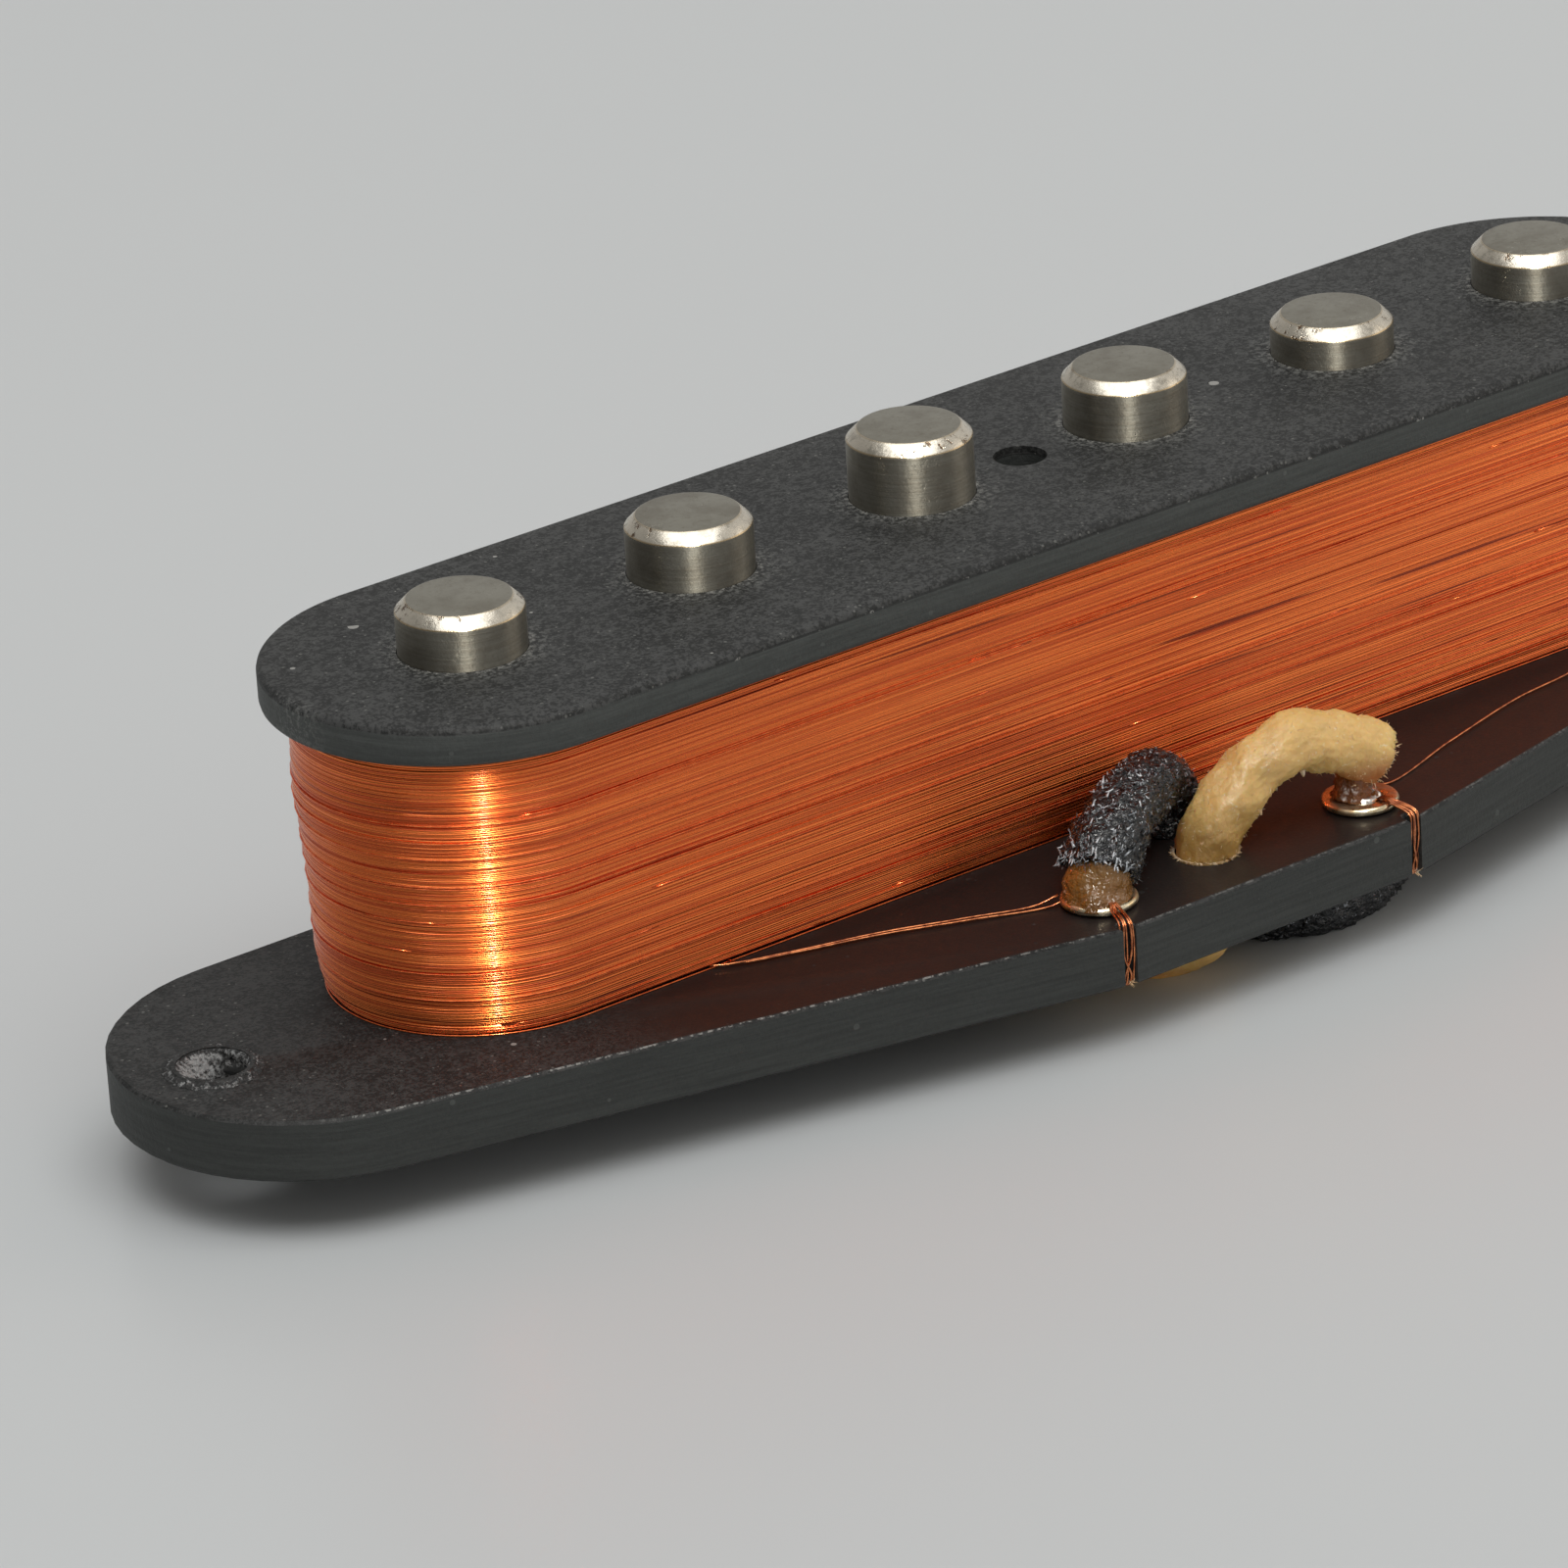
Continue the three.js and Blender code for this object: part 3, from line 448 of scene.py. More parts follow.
def place_round(turn, reach, along):
    """A place for noise that goes once round and comes back to itself."""
    angle = 2 * math.pi * turn
    return Vector((math.cos(angle) * reach, math.sin(angle) * reach, along))


YARNS = 8
YARN_SLANT = 1.3
COVER_LUMPS = 0.05
COVER_WEAVE = 0.03


def cover_relief(seed):
    """The radius of a braided cover that is a little uneven along and round its length."""
    def radius(along, turn):
        lump = COVER_LUMPS * (noise.noise(place_round(turn, 1, along * 0.8 + seed) * 1.4) - 0.5)
        climb = along * YARN_SLANT
        braid = math.sin(math.pi * (YARNS * turn + climb)) * math.sin(math.pi * (YARNS * turn - climb))
        return LEAD_DIAMETER / 2 + lump + COVER_WEAVE * braid
    return radius


def new_group(name, inputs, outputs):
    """A node group, its inputs as fields and its outputs' sockets. inputs holds each one's usual value, and a
    place has none."""
    group = bpy.data.node_groups.new(name, "ShaderNodeTree")
    for socket, usual in inputs.items():
        kind = "NodeSocketVector" if usual is None else "NodeSocketFloat"
        made = group.interface.new_socket(socket, in_out="INPUT", socket_type=kind)
        if usual is not None:
            made.default_value = usual
    for socket in outputs:
        group.interface.new_socket(socket, in_out="OUTPUT", socket_type="NodeSocketFloat")
    given = group.nodes.new("NodeGroupInput").outputs
    put_out = group.nodes.new("NodeGroupOutput").inputs
    return group, [Field(group, given[socket]) for socket in inputs], put_out


# The braid's yarns cross over and under each other. The UV map's u counts turns, its v millimetres.
braided_yarns, (yarns, slant), braid_out = new_group(
    "braided_yarns", {"Yarns": YARNS, "Slant": YARN_SLANT}, ("Height", "Fibres"))
round_lead, along_lead, _ = new_node(braided_yarns, "ShaderNodeUVMap", {}, uv_map="along").axes()
round_lead, along_lead = round_lead * yarns, along_lead * slant
rising, falling = round_lead + along_lead, round_lead - along_lead
rising_off, falling_off = rising.maths("FRACT") - 0.5, falling.maths("FRACT") - 0.5
rising_yarn, falling_yarn = 1 - rising_off * rising_off * 4, 1 - falling_off * falling_off * 4
over = (rising.maths("FLOOR") + falling.maths("FLOOR")).maths("ABSOLUTE").maths("MODULO", 2)
upper_yarn = rising_yarn * (falling_yarn * 0.4 + 0.6) * over
lower_yarn = falling_yarn * (rising_yarn * 0.4 + 0.6) * (1 - over)
feed(braided_yarns, braid_out["Height"], upper_yarn + lower_yarn)
yarn_place = new_node(braided_yarns, "ShaderNodeCombineXYZ", {0: rising * 9, 1: falling * 9})
feed(braided_yarns, braid_out["Fibres"], yarn_place.noise(1, 3, 0.6))


def cloth_finish(name, colour, deep, pale, roughness, depth, wax, gaps, crust, crust_scale, flux=None):
    """Braided cotton soaked in wax: yarns with darker gaps, paler flecks on top and a crust of wax. deep is
    a painted shade colour, laid into the yarns' gaps and on the cover just above the deck. On the black lead
    the paler flecks are painted glints, on the other cloths worn fibres. flux is the colour of the soldering
    flux that has soaked into the end over the right eyelet."""
    cloth = Finish(name)
    height, fibres = cloth.effect(braided_yarns)
    x, _, z = cloth.axes()
    above = z - DECK_Z
    flecks = cloth.noise(5.2, 3, 0.7)
    beads = cloth.noise(0.8 * crust_scale, 2, 0.6).ramp(0.42, 0.56)
    body = cloth.noise(0.7, 3, 0.6).ramp(0.35, 0.7).mix(colour, toned(colour, 0.86))
    # Painted shade: the yarns' gaps, and the cover from the deck up to about 2 mm, are darkened towards deep.
    body = (height.ramp(0.55, 0.1) * gaps).mix(body, deep)
    body = (above.ramp(-0.3, 0) * above.ramp(2.2, 0.3) * 0.8).mix(body, deep)
    if flux:
        soaked = x.ramp(4.3, 5.3) * above.ramp(2.5, 1.3) * above.ramp(-0.5, 0)
        body = (soaked * 0.9).mix(body, flux)
    # On the black lead these pale flecks are painted glints; on the other cloths they are worn fibres.
    worn = flecks.ramp(0.605, 0.65) * cloth.noise(1.1).ramp(0.4, 0.55)
    cloth.set(Base_Color=worn.mix(body, pale), IOR=1.6,
              Roughness=flecks * 0.2 + (roughness - 0.1) - beads * wax)
    cloth.bump((fibres * 0.35 + height) * gaps + cloth.noise(crust_scale, 2, 0.6) * crust, 1.0, depth)
    return cloth


lead_cloth = {
    # The black cloth's pale flecks are painted glints.
    "black": cloth_finish(
        "black_cloth", colour=(0.005, 0.006, 0.008), deep=(0.003, 0.0035, 0.0045), pale=(0.4, 0.42, 0.46),
        roughness=0.44, depth=0.14, wax=0.32, gaps=0.4, crust=2.2, crust_scale=3),
    "cream": cloth_finish(
        "cream_cloth", colour=(0.92, 0.585, 0.2), deep=(0.5, 0.27, 0.055), pale=(0.92, 0.7, 0.4),
        roughness=0.55, depth=0.05, wax=0.14, gaps=0.1, crust=1.0, crust_scale=3.4, flux=(0.45, 0.13, 0.02)),
}
lead_cloth["cream"].set(Subsurface_Weight=0.45, Subsurface_Scale=0.6 * MM, Subsurface_Radius=(1, 0.55, 0.2))

tinned_wire = Finish("tinned_wire")
dull = tinned_wire.noise(3, 3, 0.6).ramp(0.4, 0.7)
tinned_wire.set(Base_Color=dull.mix((0.66, 0.66, 0.64), (0.42, 0.41, 0.38)), Roughness=dull * 0.25 + 0.2,
                Metallic=1)
tinned_wire.bump(tinned_wire.noise(6), 0.3, 0.02)

TIP_LENGTH = 6
TIP_GAP = 0.3
TIP_SUNK = 0.5
TIP_STEP = 0.25
CORE_DIAMETER = 0.75
CORE_STRANDS = 7
CORE_LAY = 5
WIRE_SIDES = 8


def stranded(line, spread_from=math.inf):
    """Fine wires twisted round a middle one. They fan out past spread_from millimetres."""
    fine = CORE_DIAMETER / 3
    parts = []
    for strand in range(CORE_STRANDS):
        path = []
        for centre, along, bearing in zip(line, lengths_along(line), bearings_along(line)):
            fan = max(0, along - spread_from) ** 1.4 * (0.05 + 0.05 * (strand % 3))
            reach = fan + ((CORE_DIAMETER - fine) / 2 if strand else 0)
            path.append(centre + spoke(bearing, strand / (CORE_STRANDS - 1) + along / CORE_LAY) * reach)
        parts.append(tube_data(path, fine / 2, WIRE_SIDES))
    return join_data(parts)


free_pieces = {}
for colour_name, lead in FREE_LEADS.items():
    loops = loop_line(lead["loops_angle"], lead["axis_z"])
    into_loops = loops[0] - (loops[1] - loops[0]).normalized() * LEAD_DIAMETER
    route = [lead["exit"], *lead["route"], into_loops, *loops]
    line = [to_model(point) for point in smooth_line(route, LEAD_STEP)]
    points, faces, uvs = tube_data(line, cover_relief(lead["seed"]), LEAD_SIDES)
    press_flat(points, 0)
    cover = make_object(f"{colour_name}_lead_free", points, faces, uvs)
    fit(cover, lead_cloth[colour_name], f"{colour_name}_cloth", f"{colour_name}_lead_run",
        f"{colour_name}_lead_coil")
    outwards = (line[-1] - line[-2]).normalized()
    tip_line = [line[-1] + outwards * (TIP_GAP - TIP_SUNK + TIP_STEP * step)
                for step in range(round((TIP_LENGTH + TIP_SUNK) / TIP_STEP) + 1)]
    tip = make_object(f"{colour_name}_lead_bare_tip", *stranded(tip_line, TIP_LENGTH - 1))
    fit(tip, tinned_wire, "tinned_wire", f"{colour_name}_lead_tip")
    free_pieces[colour_name] = (cover, tip, line)


# Tie: a narrow hook-and-loop strap round both coils, its woven face out. A circle's corners are set round the
# coils' section, and the ring is extruded to the strap's width.
TIE_THICKNESS = 0.5
TIE_WIDTH = 3.0
TIE_SPANS = 6
TIE_CORNER = 1.3
TIE_EDGE = 0.08
TIE_SHRINK = 0.9
tie_strap = Finish("tie_strap")
tufts = new_node(tie_strap.tree, "ShaderNodeTexVoronoi", {"Vector": tie_strap.where, "Scale": 3.6 / MM},
                 "Distance").ramp(0.5, 0.1)
tie_strap.set(Base_Color=tufts.mix((0.012, 0.012, 0.013), (0.045, 0.045, 0.047)), Roughness=0.85,
              Sheen_Weight=0.3)
tie_strap.bump(tufts, 0.8, 0.12)


def arc(x, y, radius, first, last, steps):
    """Points of an arc from one angle to another, in degrees."""
    angles = [math.radians(first + (last - first) * step / steps) for step in range(steps + 1)]
    return [(x + radius * math.cos(angle), y + radius * math.sin(angle)) for angle in angles]


def edit_all(made):
    select_only(made)
    bpy.ops.object.mode_set(mode="EDIT")
    bpy.ops.mesh.select_all(action="SELECT")


def end_edit():
    """Points a closed shape's faces outwards and leaves edit mode."""
    bpy.ops.mesh.select_all(action="SELECT")
    bpy.ops.mesh.normals_make_consistent(inside=False)
    bpy.ops.object.mode_set(mode="OBJECT")


def apply_modifier(made, kind, **settings):
    select_only(made)
    modifier = made.modifiers.new(kind.lower(), kind)
    for key, value in settings.items():
        setattr(modifier, key, value)
    bpy.ops.object.modifier_apply(modifier=modifier.name)


def smooth_by_angle(made, degrees):
    select_only(made)
    bpy.ops.object.shade_smooth_by_angle(angle=math.radians(degrees))


outwards = Vector((math.cos(TIE_ANGLE), math.sin(TIE_ANGLE), 0))
aside = Vector((-outwards.y, outwards.x, 0))
tie_centre = to_model((*LOOPS_CENTRE, 0))
tie_low, tie_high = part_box("lead_tie")
reaches = [(Vector((x, y, 0)) / MM - tie_centre).dot(outwards)
           for x in (tie_low.x, tie_high.x) for y in (tie_low.y, tie_high.y)]
inset = TIE_CORNER + TIE_THICKNESS / 2
near, far = min(reaches) + TIE_WIDTH / 2 + inset, max(reaches) - TIE_WIDTH / 2 - inset
foot, roof = inset, tie_high.z / MM - inset
strap_section = [*arc(far, foot, TIE_CORNER, -90, 0, 6), *arc(far, roof, TIE_CORNER, 0, 90, 6),
                 *arc(near, roof, TIE_CORNER, 90, 180, 6), *arc(near, foot, TIE_CORNER, 180, 270, 6)]
select_only()
bpy.ops.mesh.primitive_circle_add(vertices=len(strap_section), radius=far * MM)
strap = bpy.context.object
strap.name = "coil_tie"
for vertex, (reach, height) in zip(strap.data.vertices, strap_section):
    vertex.co = (tie_centre + outwards * reach - aside * TIE_WIDTH / 2 + Vector((0, 0, height))) * MM
edit_all(strap)
for _ in range(TIE_SPANS):
    step_aside = aside * TIE_WIDTH / TIE_SPANS * MM
    bpy.ops.mesh.extrude_region_move(TRANSFORM_OT_translate={"value": step_aside})
end_edit()
apply_modifier(strap, "SOLIDIFY", thickness=TIE_THICKNESS * MM * TIE_SHRINK, offset=0)
apply_modifier(strap, "BEVEL", width=TIE_EDGE * MM, segments=2, limit_method="ANGLE")
smooth_by_angle(strap, 40)
fit(strap, tie_strap, "tie_strap", "lead_tie")

for colour_name, lead in FREE_LEADS.items():
    cover, tip, line = free_pieces[colour_name]
    tuple(to_model(lead["exit"]) * MM)


# Bottom flatwork: a thick plate of black vulcanised fibre with round ears, a straight back edge and a front
# edge that swells to two notched corners. It is sawn and sanded, so its side shows layers and its edge is
# dusty. Lacquer covers the front of its top, between the coil and the edge: its gloss is the lacquer's, and
# its brown-red colour there is a painted reflection of the copper coil.
UNDERSIDE_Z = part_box("bottom_flatwork")[0].z / MM
PLATE_EDGE = 0.12
MERGED = 0.001 * MM
FIBRE_DARK = (0.014, 0.0145, 0.014)
FIBRE_PALE = (0.05, 0.0505, 0.049)
FIBRE_CUT = (0.0235, 0.0252, 0.0238)
FIBRE_CUT_PALE = (0.038, 0.041, 0.0385)
FIBRE_DUST = (0.42, 0.41, 0.38)
LACQUER_AND_REFLECTION = (0.012, 0.006, 0.0045)

# Grains of sanding dust: in some of the cells of this size, by share, a round speck.
dust_specks, (dust_place, dust_size, dust_share), specks_out = new_group(
    "dust_specks", {"Place": None, "Size": 2600, "Share": 0.1}, ("Specks",))
dust_cells = {"Vector": dust_place, "Scale": dust_size}
cell_colour = new_node(dust_specks, "ShaderNodeTexVoronoi", dust_cells, "Color")
off_grain = new_node(dust_specks, "ShaderNodeTexVoronoi", dust_cells, "Distance")
chosen, grain_size = (new_node(dust_specks, "ShaderNodeSeparateColor", {0: cell_colour}, i) for i in (0, 1))
feed(dust_specks, specks_out["Specks"],
     chosen.maths("LESS_THAN", dust_share) * off_grain.maths("LESS_THAN", grain_size * 0.28 + 0.05))


def specks(finish, per_millimetre, share):
    return finish.effect(dust_specks, Place=finish.where, Size=per_millimetre / MM, Share=share)[0]


def start_fibre(name, low_z, high_z, edge, tone, side_tone):
    """The fibre's colour and relief, with its sawn side from low_z up to the edge below high_z. The sawn
    layers are paler of their own, and side_tone lifts them further to stand in for light on the side: painted
    light.
    """
    fibre = Finish(name)
    _, _, z = fibre.axes()
    grain = fibre.noise(6.2, 3, 0.75)
    blotches = fibre.noise(2.3, 3, 0.6)
    layers = fibre.noise(0.9, 4, 0.75, stretch=(0.25, 0.25, 6))
    mottled = grain * 0.6 + blotches * 0.3 + fibre.noise(0.38, 3, 0.55) * 0.15
    face = mottled.ramp(0.47, 0.59).mix(toned(FIBRE_DARK, tone), toned(FIBRE_PALE, tone))
    face = (specks(fibre, 5.2, 0.14) * 0.5).mix(face, (0.22, 0.22, 0.2))
    face = (specks(fibre, 1.3, 0.012) * 0.8).mix(face, FIBRE_DUST)
    sawn = (layers * 0.7 + grain * 0.3).ramp(0.34, 0.68)
    # side_tone lifts the sawn side's colour: painted light on top of the layers' own paler tone.
    sawn = sawn.mix(toned(FIBRE_CUT, side_tone), toned(FIBRE_CUT_PALE, side_tone))
    sawn = (specks(fibre, 2.4, 0.03) * 0.4).mix(sawn, (0.14, 0.15, 0.14))
    on_side = z.ramp(high_z - edge * 0.9, high_z - edge * 1.2) * z.ramp(low_z + 0.02, low_z + 0.1)
    fibre.set(Roughness=grain * 0.25 + 0.47, Specular_IOR_Level=0.3)
    return fibre, on_side.mix(face, sawn), layers * on_side * 0.6 + blotches * 0.8 + grain


def end_fibre(fibre, colour, dusty, relief):
    fibre.set(Base_Color=dusty.mix(colour, FIBRE_DUST))
    fibre.bump(relief, 0.8, 0.04)


bottom_fibre, colour, relief = start_fibre("bottom_fibre", UNDERSIDE_Z, DECK_Z, PLATE_EDGE, 0.95, 1.45)
x, y, z = bottom_fibre.axes()
wander = bottom_fibre.noise(0.3, 3) * 4 - 2
# The patch in front of the coil: its gloss is real lacquer, its brown-red colour a painted reflection of the
# coil.
in_length = (x + wander).ramp(-30, -22) * (x - wander).ramp(33, 26)
in_front = (y + wander * 0.3).ramp(-1.9, -3.4)
on_top = z.ramp(DECK_Z - 0.03, DECK_Z - 0.01)
lacquer_and_reflection = in_length * in_front * on_top * (1 - specks(bottom_fibre, 3, 0.05) * 0.8)
bottom_fibre.set(Coat_Weight=lacquer_and_reflection * (bottom_fibre.noise(1.5, 3, 0.6) * 0.5 + 0.05), Coat_Roughness=0.24)
broken = z.ramp(DECK_Z - PLATE_EDGE * 0.62, DECK_Z - PLATE_EDGE * 0.45)
broken = broken * z.ramp(DECK_Z - 0.002, DECK_Z - PLATE_EDGE * 0.15)
dusty = broken * bottom_fibre.noise(3.9, 3, 0.7).ramp(0.48, 0.6) * y.ramp(-2.8, -4)
end_fibre(bottom_fibre, lacquer_and_reflection.mix(colour, LACQUER_AND_REFLECTION), dusty * (x.ramp(2, -22) * 0.5 + 0.22),
          relief * (lacquer_and_reflection * -0.7 + 1))


bottom_plate = new_object("bottom_plate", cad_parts["bottom_flatwork"].data.copy())
bottom_plate.data.materials.clear()
edit_all(bottom_plate)
bpy.ops.mesh.remove_doubles(threshold=MERGED)
bpy.ops.mesh.dissolve_limited(angle_limit=math.radians(0.1))
smooth_by_angle(bottom_plate, 25)
fit(bottom_plate, bottom_fibre, "fibre", "bottom_flatwork")


# Screw holes: each ear's hole is tapped, so a thread, made here as rings, runs down its wall. The tap has
# torn the fibre up into a ragged, dusty rim round the hole's mouth.
SCREW_HOLE_REACH = 1.375
SCREW_HOLE_X = PLATE_END_X - 3.15
THREAD_PITCH = 0.45
THREAD_DEPTH = 0.16
THREAD_ROOM = 0.15
THREAD_FOOT = 0.03
CREST_SHARES = (0.4, 0.5)
TAP_FIT = 0.005
THREAD_SIDES = 48
RIM_SIDES = 96
RIM_ROUGHNESS = ((0.1, 3.7), (0.07, 9.1))
RIM_RISE_SHARE = 0.7
FLAP_TOP = 0.1
FLAP_REACH = 1.45
FLAP_DEPTH = 0.9
FLAP_OUT = 0.95
FLAP_MOST = 1.05
FLAP_WAVE = 0.12
FLAP_WAVES = 2.2
RIM_PROFILE = [(1.34, -1.3), (1.33, -1.05), (1.32, -0.8), (1.31, -0.55), (1.3, -0.35), (1.27, -0.15),
               (1.24, 0.02), (1.29, 0.13), (1.4, 0.2), (1.52, 0.2), (1.64, 0.14), (1.76, 0.05), (1.87, -0.03),
               (1.7, -0.15)]


def length_of(x, y):
    return (x * x + y * y).maths("SQRT")


torn_fibre = Finish("torn_fibre")
torn = torn_fibre.noise(5.2, 4, 0.75)
x, y, _ = torn_fibre.axes()
inside = length_of(x.maths("ABSOLUTE") - SCREW_HOLE_X, y - ROD_LINE_Y).ramp(1.4, 1.15)
paleness = (inside * 0.13 + torn).ramp(0.5, 0.7)
torn_fibre.set(Base_Color=paleness.mix((0.018, 0.018, 0.018), (0.44, 0.44, 0.43)),
               Roughness=torn * -0.5 + 0.85)
torn_fibre.bump(torn, 1.0, 0.12)
thread_fibre = Finish("thread_fibre")
thread_fibre.set(Base_Color=thread_fibre.noise(4, 3).mix((0.012, 0.012, 0.012), (0.03, 0.031, 0.03)),
                 Roughness=0.6)


def turned(name, profile, centre, sides, ring=True):
    """A piece turned round an upright axis: a circle at the profile's first (reach, height), extruded on
    through the others. A ring closes on its first point, and anything else gets a face across each end."""
    select_only()
    reach, height = profile[0]
    bpy.ops.mesh.primitive_circle_add(vertices=sides, radius=reach * MM,
                                      location=(centre[0] * MM, centre[1] * MM, height * MM))
    made = bpy.context.object
    made.name = name
    bpy.ops.object.transform_apply(location=True, rotation=True, scale=True)
    edit_all(made)
    if not ring:
        bpy.ops.mesh.edge_face_add()
    for next_reach, next_height in [*profile[1:], *([profile[0]] if ring else [])]:
        if ring:
            bpy.ops.mesh.extrude_edges_move()
        else:
            bpy.ops.mesh.extrude_region_move()
        bpy.ops.transform.translate(value=(0, 0, (next_height - height) * MM))
        bpy.ops.transform.resize(value=(next_reach / reach, next_reach / reach, 1),
                                 center_override=(centre[0] * MM, centre[1] * MM, next_height * MM))
        reach, height = next_reach, next_height
    bpy.ops.mesh.select_all(action="SELECT")
    bpy.ops.mesh.remove_doubles(threshold=MERGED)
    end_edit()
    made.data.polygons.foreach_set("use_smooth", [True] * len(made.data.polygons))
    return made


for side_name, side in (("left", -1), ("right", 1)):
    centre = (side * SCREW_HOLE_X, ROD_LINE_Y)
    outer = SCREW_HOLE_REACH - TAP_FIT
    crest = outer - THREAD_DEPTH
    profile = [(outer, DECK_Z - 0.05), (outer, UNDERSIDE_Z + 0.05)]
    for turn in range(int((DECK_Z - UNDERSIDE_Z - 2 * THREAD_ROOM) / THREAD_PITCH)):
        foot = UNDERSIDE_Z + THREAD_ROOM + turn * THREAD_PITCH
        profile.append((outer - THREAD_FOOT, foot))
        profile += [(crest, foot + THREAD_PITCH * share) for share in CREST_SHARES]
    fit(turned(f"screw_thread_{side_name}", profile, centre, THREAD_SIDES), thread_fibre, "fibre")

    rim_profile = [(reach, DECK_Z + rise) for reach, rise in RIM_PROFILE]
    rim = turned(f"torn_rim_{side_name}", rim_profile, centre, RIM_SIDES)
    apply_modifier(rim, "SUBSURF", levels=1, render_levels=1)
    torn_side = Vector((-0.8, 0.6 * -side, 0))
    for vertex in rim.data.vertices:
        place = vertex.co / MM
        arm = Vector((place.x - centre[0], place.y - centre[1], 0))
        outwards = arm.normalized()
        depth = max(0, DECK_Z + FLAP_TOP - place.z) if arm.length < FLAP_REACH else 0
        flap = max(0, outwards.dot(torn_side) + 0.25) ** 0.6 * min(1, depth / FLAP_DEPTH)
        rough = sum(size * noise.noise(place * per_mm) for size, per_mm in RIM_ROUGHNESS)
        moved = rough - min(FLAP_MOST, FLAP_OUT * flap) + FLAP_WAVE * flap * noise.noise(place * FLAP_WAVES)
        vertex.co += (outwards * moved + Vector((0, 0, RIM_RISE_SHARE * rough))) * MM
    fit(rim, torn_fibre, "fibre")


# Top flatwork: a thin fibre plate with round ends centred on the end rods, pressed down over the rods. It has
# one small hole in the middle, where the winder's pin held it. Dust has gathered round the rods.
TOP_LOW, TOP_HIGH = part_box("top_flatwork")
TOP_UNDER_Z, TOP_Z = TOP_LOW.z / MM, TOP_HIGH.z / MM
TOP_WIDTH = (TOP_HIGH.y - TOP_LOW.y) / MM
TOP_EDGE = 0.27
ROD_PITCH = 10.4
ROW_HALF = ROD_PITCH * 2.5
ROD_DIAMETER = 4.78
ROD_FIT = 0.03
CENTRE_HOLE_DIAMETER = 2.05
CENTRE_HOLE_STEPS = 64
CUT_PAST = 1
SAME_PLACE = 0.01
ROUND_STEPS = 144
rod_places = [(i * ROD_PITCH - ROW_HALF, ROD_LINE_Y) for i in range(6)]

top_fibre, colour, relief = start_fibre("top_fibre", TOP_UNDER_Z, TOP_Z, TOP_EDGE, 1.3, 2.2)
x, y, z = top_fibre.axes()
off_rod = length_of(((x * (1 / ROD_PITCH)).maths("FRACT") - 0.5) * ROD_PITCH, y - ROD_LINE_Y)
loose_dust = off_rod.ramp(3.8, 2.4) * top_fibre.noise(4.6, 3, 0.8).ramp(0.48, 0.6)
packed_dust = off_rod.ramp(2.75, 2.5) * top_fibre.noise(5.2, 3, 0.8).ramp(0.52, 0.6)
# Painted shade: a dark line along the foot of the edge's bevel, absent at the left end. Dust specks are
# strewn along the same line.
shade_line_low, shade_line_high = TOP_Z - TOP_EDGE * 1.25, TOP_Z - TOP_EDGE * 0.95
edge_shade_line = z.ramp(shade_line_low - 0.03, shade_line_low + 0.01) * z.ramp(shade_line_high + 0.03, shade_line_high - 0.01)
edge_shade_line = edge_shade_line * x.ramp(-27, -18)
colour = (loose_dust * 0.42).mix(colour, (0.3, 0.3, 0.28))
colour = (packed_dust * 0.6).mix(colour, FIBRE_DUST)
colour = (edge_shade_line * 0.65).mix(colour, (0.008, 0.008, 0.008))
end_fibre(top_fibre, colour, edge_shade_line * top_fibre.noise(2.6, 3, 0.7).ramp(0.6, 0.68) * 0.5, relief)


def upright_rod(name, centre, low, high, diameter, steps=ROUND_STEPS):
    """A cylinder with its place in its mesh, at a place and heights in millimetres."""
    select_only()
    bpy.ops.mesh.primitive_cylinder_add(
        vertices=steps, radius=diameter / 2 * MM, depth=(high - low) * MM,
        location=(centre[0] * MM, centre[1] * MM, (low + high) / 2 * MM))
    made = bpy.context.object
    made.name = name
    bpy.ops.object.transform_apply(location=True, rotation=True, scale=True)
    return made


def bevel_edges(made, width, segments, chosen):
    """Bevels the edges for which chosen(first corner, second corner) holds, corners in millimetres."""
    select_only(made)
    mesh = made.data
    for part in (*mesh.vertices, *mesh.polygons):
        part.select = False
    for edge in mesh.edges:
        edge.select = chosen(*(mesh.vertices[corner].co / MM for corner in edge.vertices))
    for edge in mesh.edges:
        if edge.select:
            for corner in edge.vertices:
                mesh.vertices[corner].select = True
    bpy.context.tool_settings.mesh_select_mode = (False, True, False)
    bpy.ops.object.mode_set(mode="EDIT")
    bpy.ops.mesh.bevel(offset=width * MM, segments=segments, affect="EDGES")
    bpy.ops.object.mode_set(mode="OBJECT")


top_plate = upright_rod("top_plate", (0, ROD_LINE_Y), TOP_UNDER_Z, TOP_Z, TOP_WIDTH)
for vertex in top_plate.data.vertices:
    if abs(vertex.co.x) > SAME_PLACE * MM:
        vertex.co.x += math.copysign(ROW_HALF * MM, vertex.co.x)
bevel_edges(top_plate, TOP_EDGE, 3, lambda a, b: abs(a.z - b.z) < SAME_PLACE)
cut_low, cut_high = TOP_UNDER_Z - CUT_PAST, TOP_Z + CUT_PAST
rod_hole = ROD_DIAMETER + 2 * ROD_FIT
cutters = [upright_rod("cutter", rod_place, cut_low, cut_high, rod_hole) for rod_place in rod_places]
cutters.append(upright_rod("cutter", (0, ROD_LINE_Y), cut_low, cut_high, CENTRE_HOLE_DIAMETER,
                           CENTRE_HOLE_STEPS))
select_only(*cutters)
bpy.ops.object.join()
apply_modifier(top_plate, "BOOLEAN", operation="DIFFERENCE", solver="EXACT", object=cutters[0])
bpy.data.objects.remove(cutters[0], do_unlink=True)
smooth_by_angle(top_plate, 35)
fit(top_plate, top_fibre, "fibre", "top_flatwork")


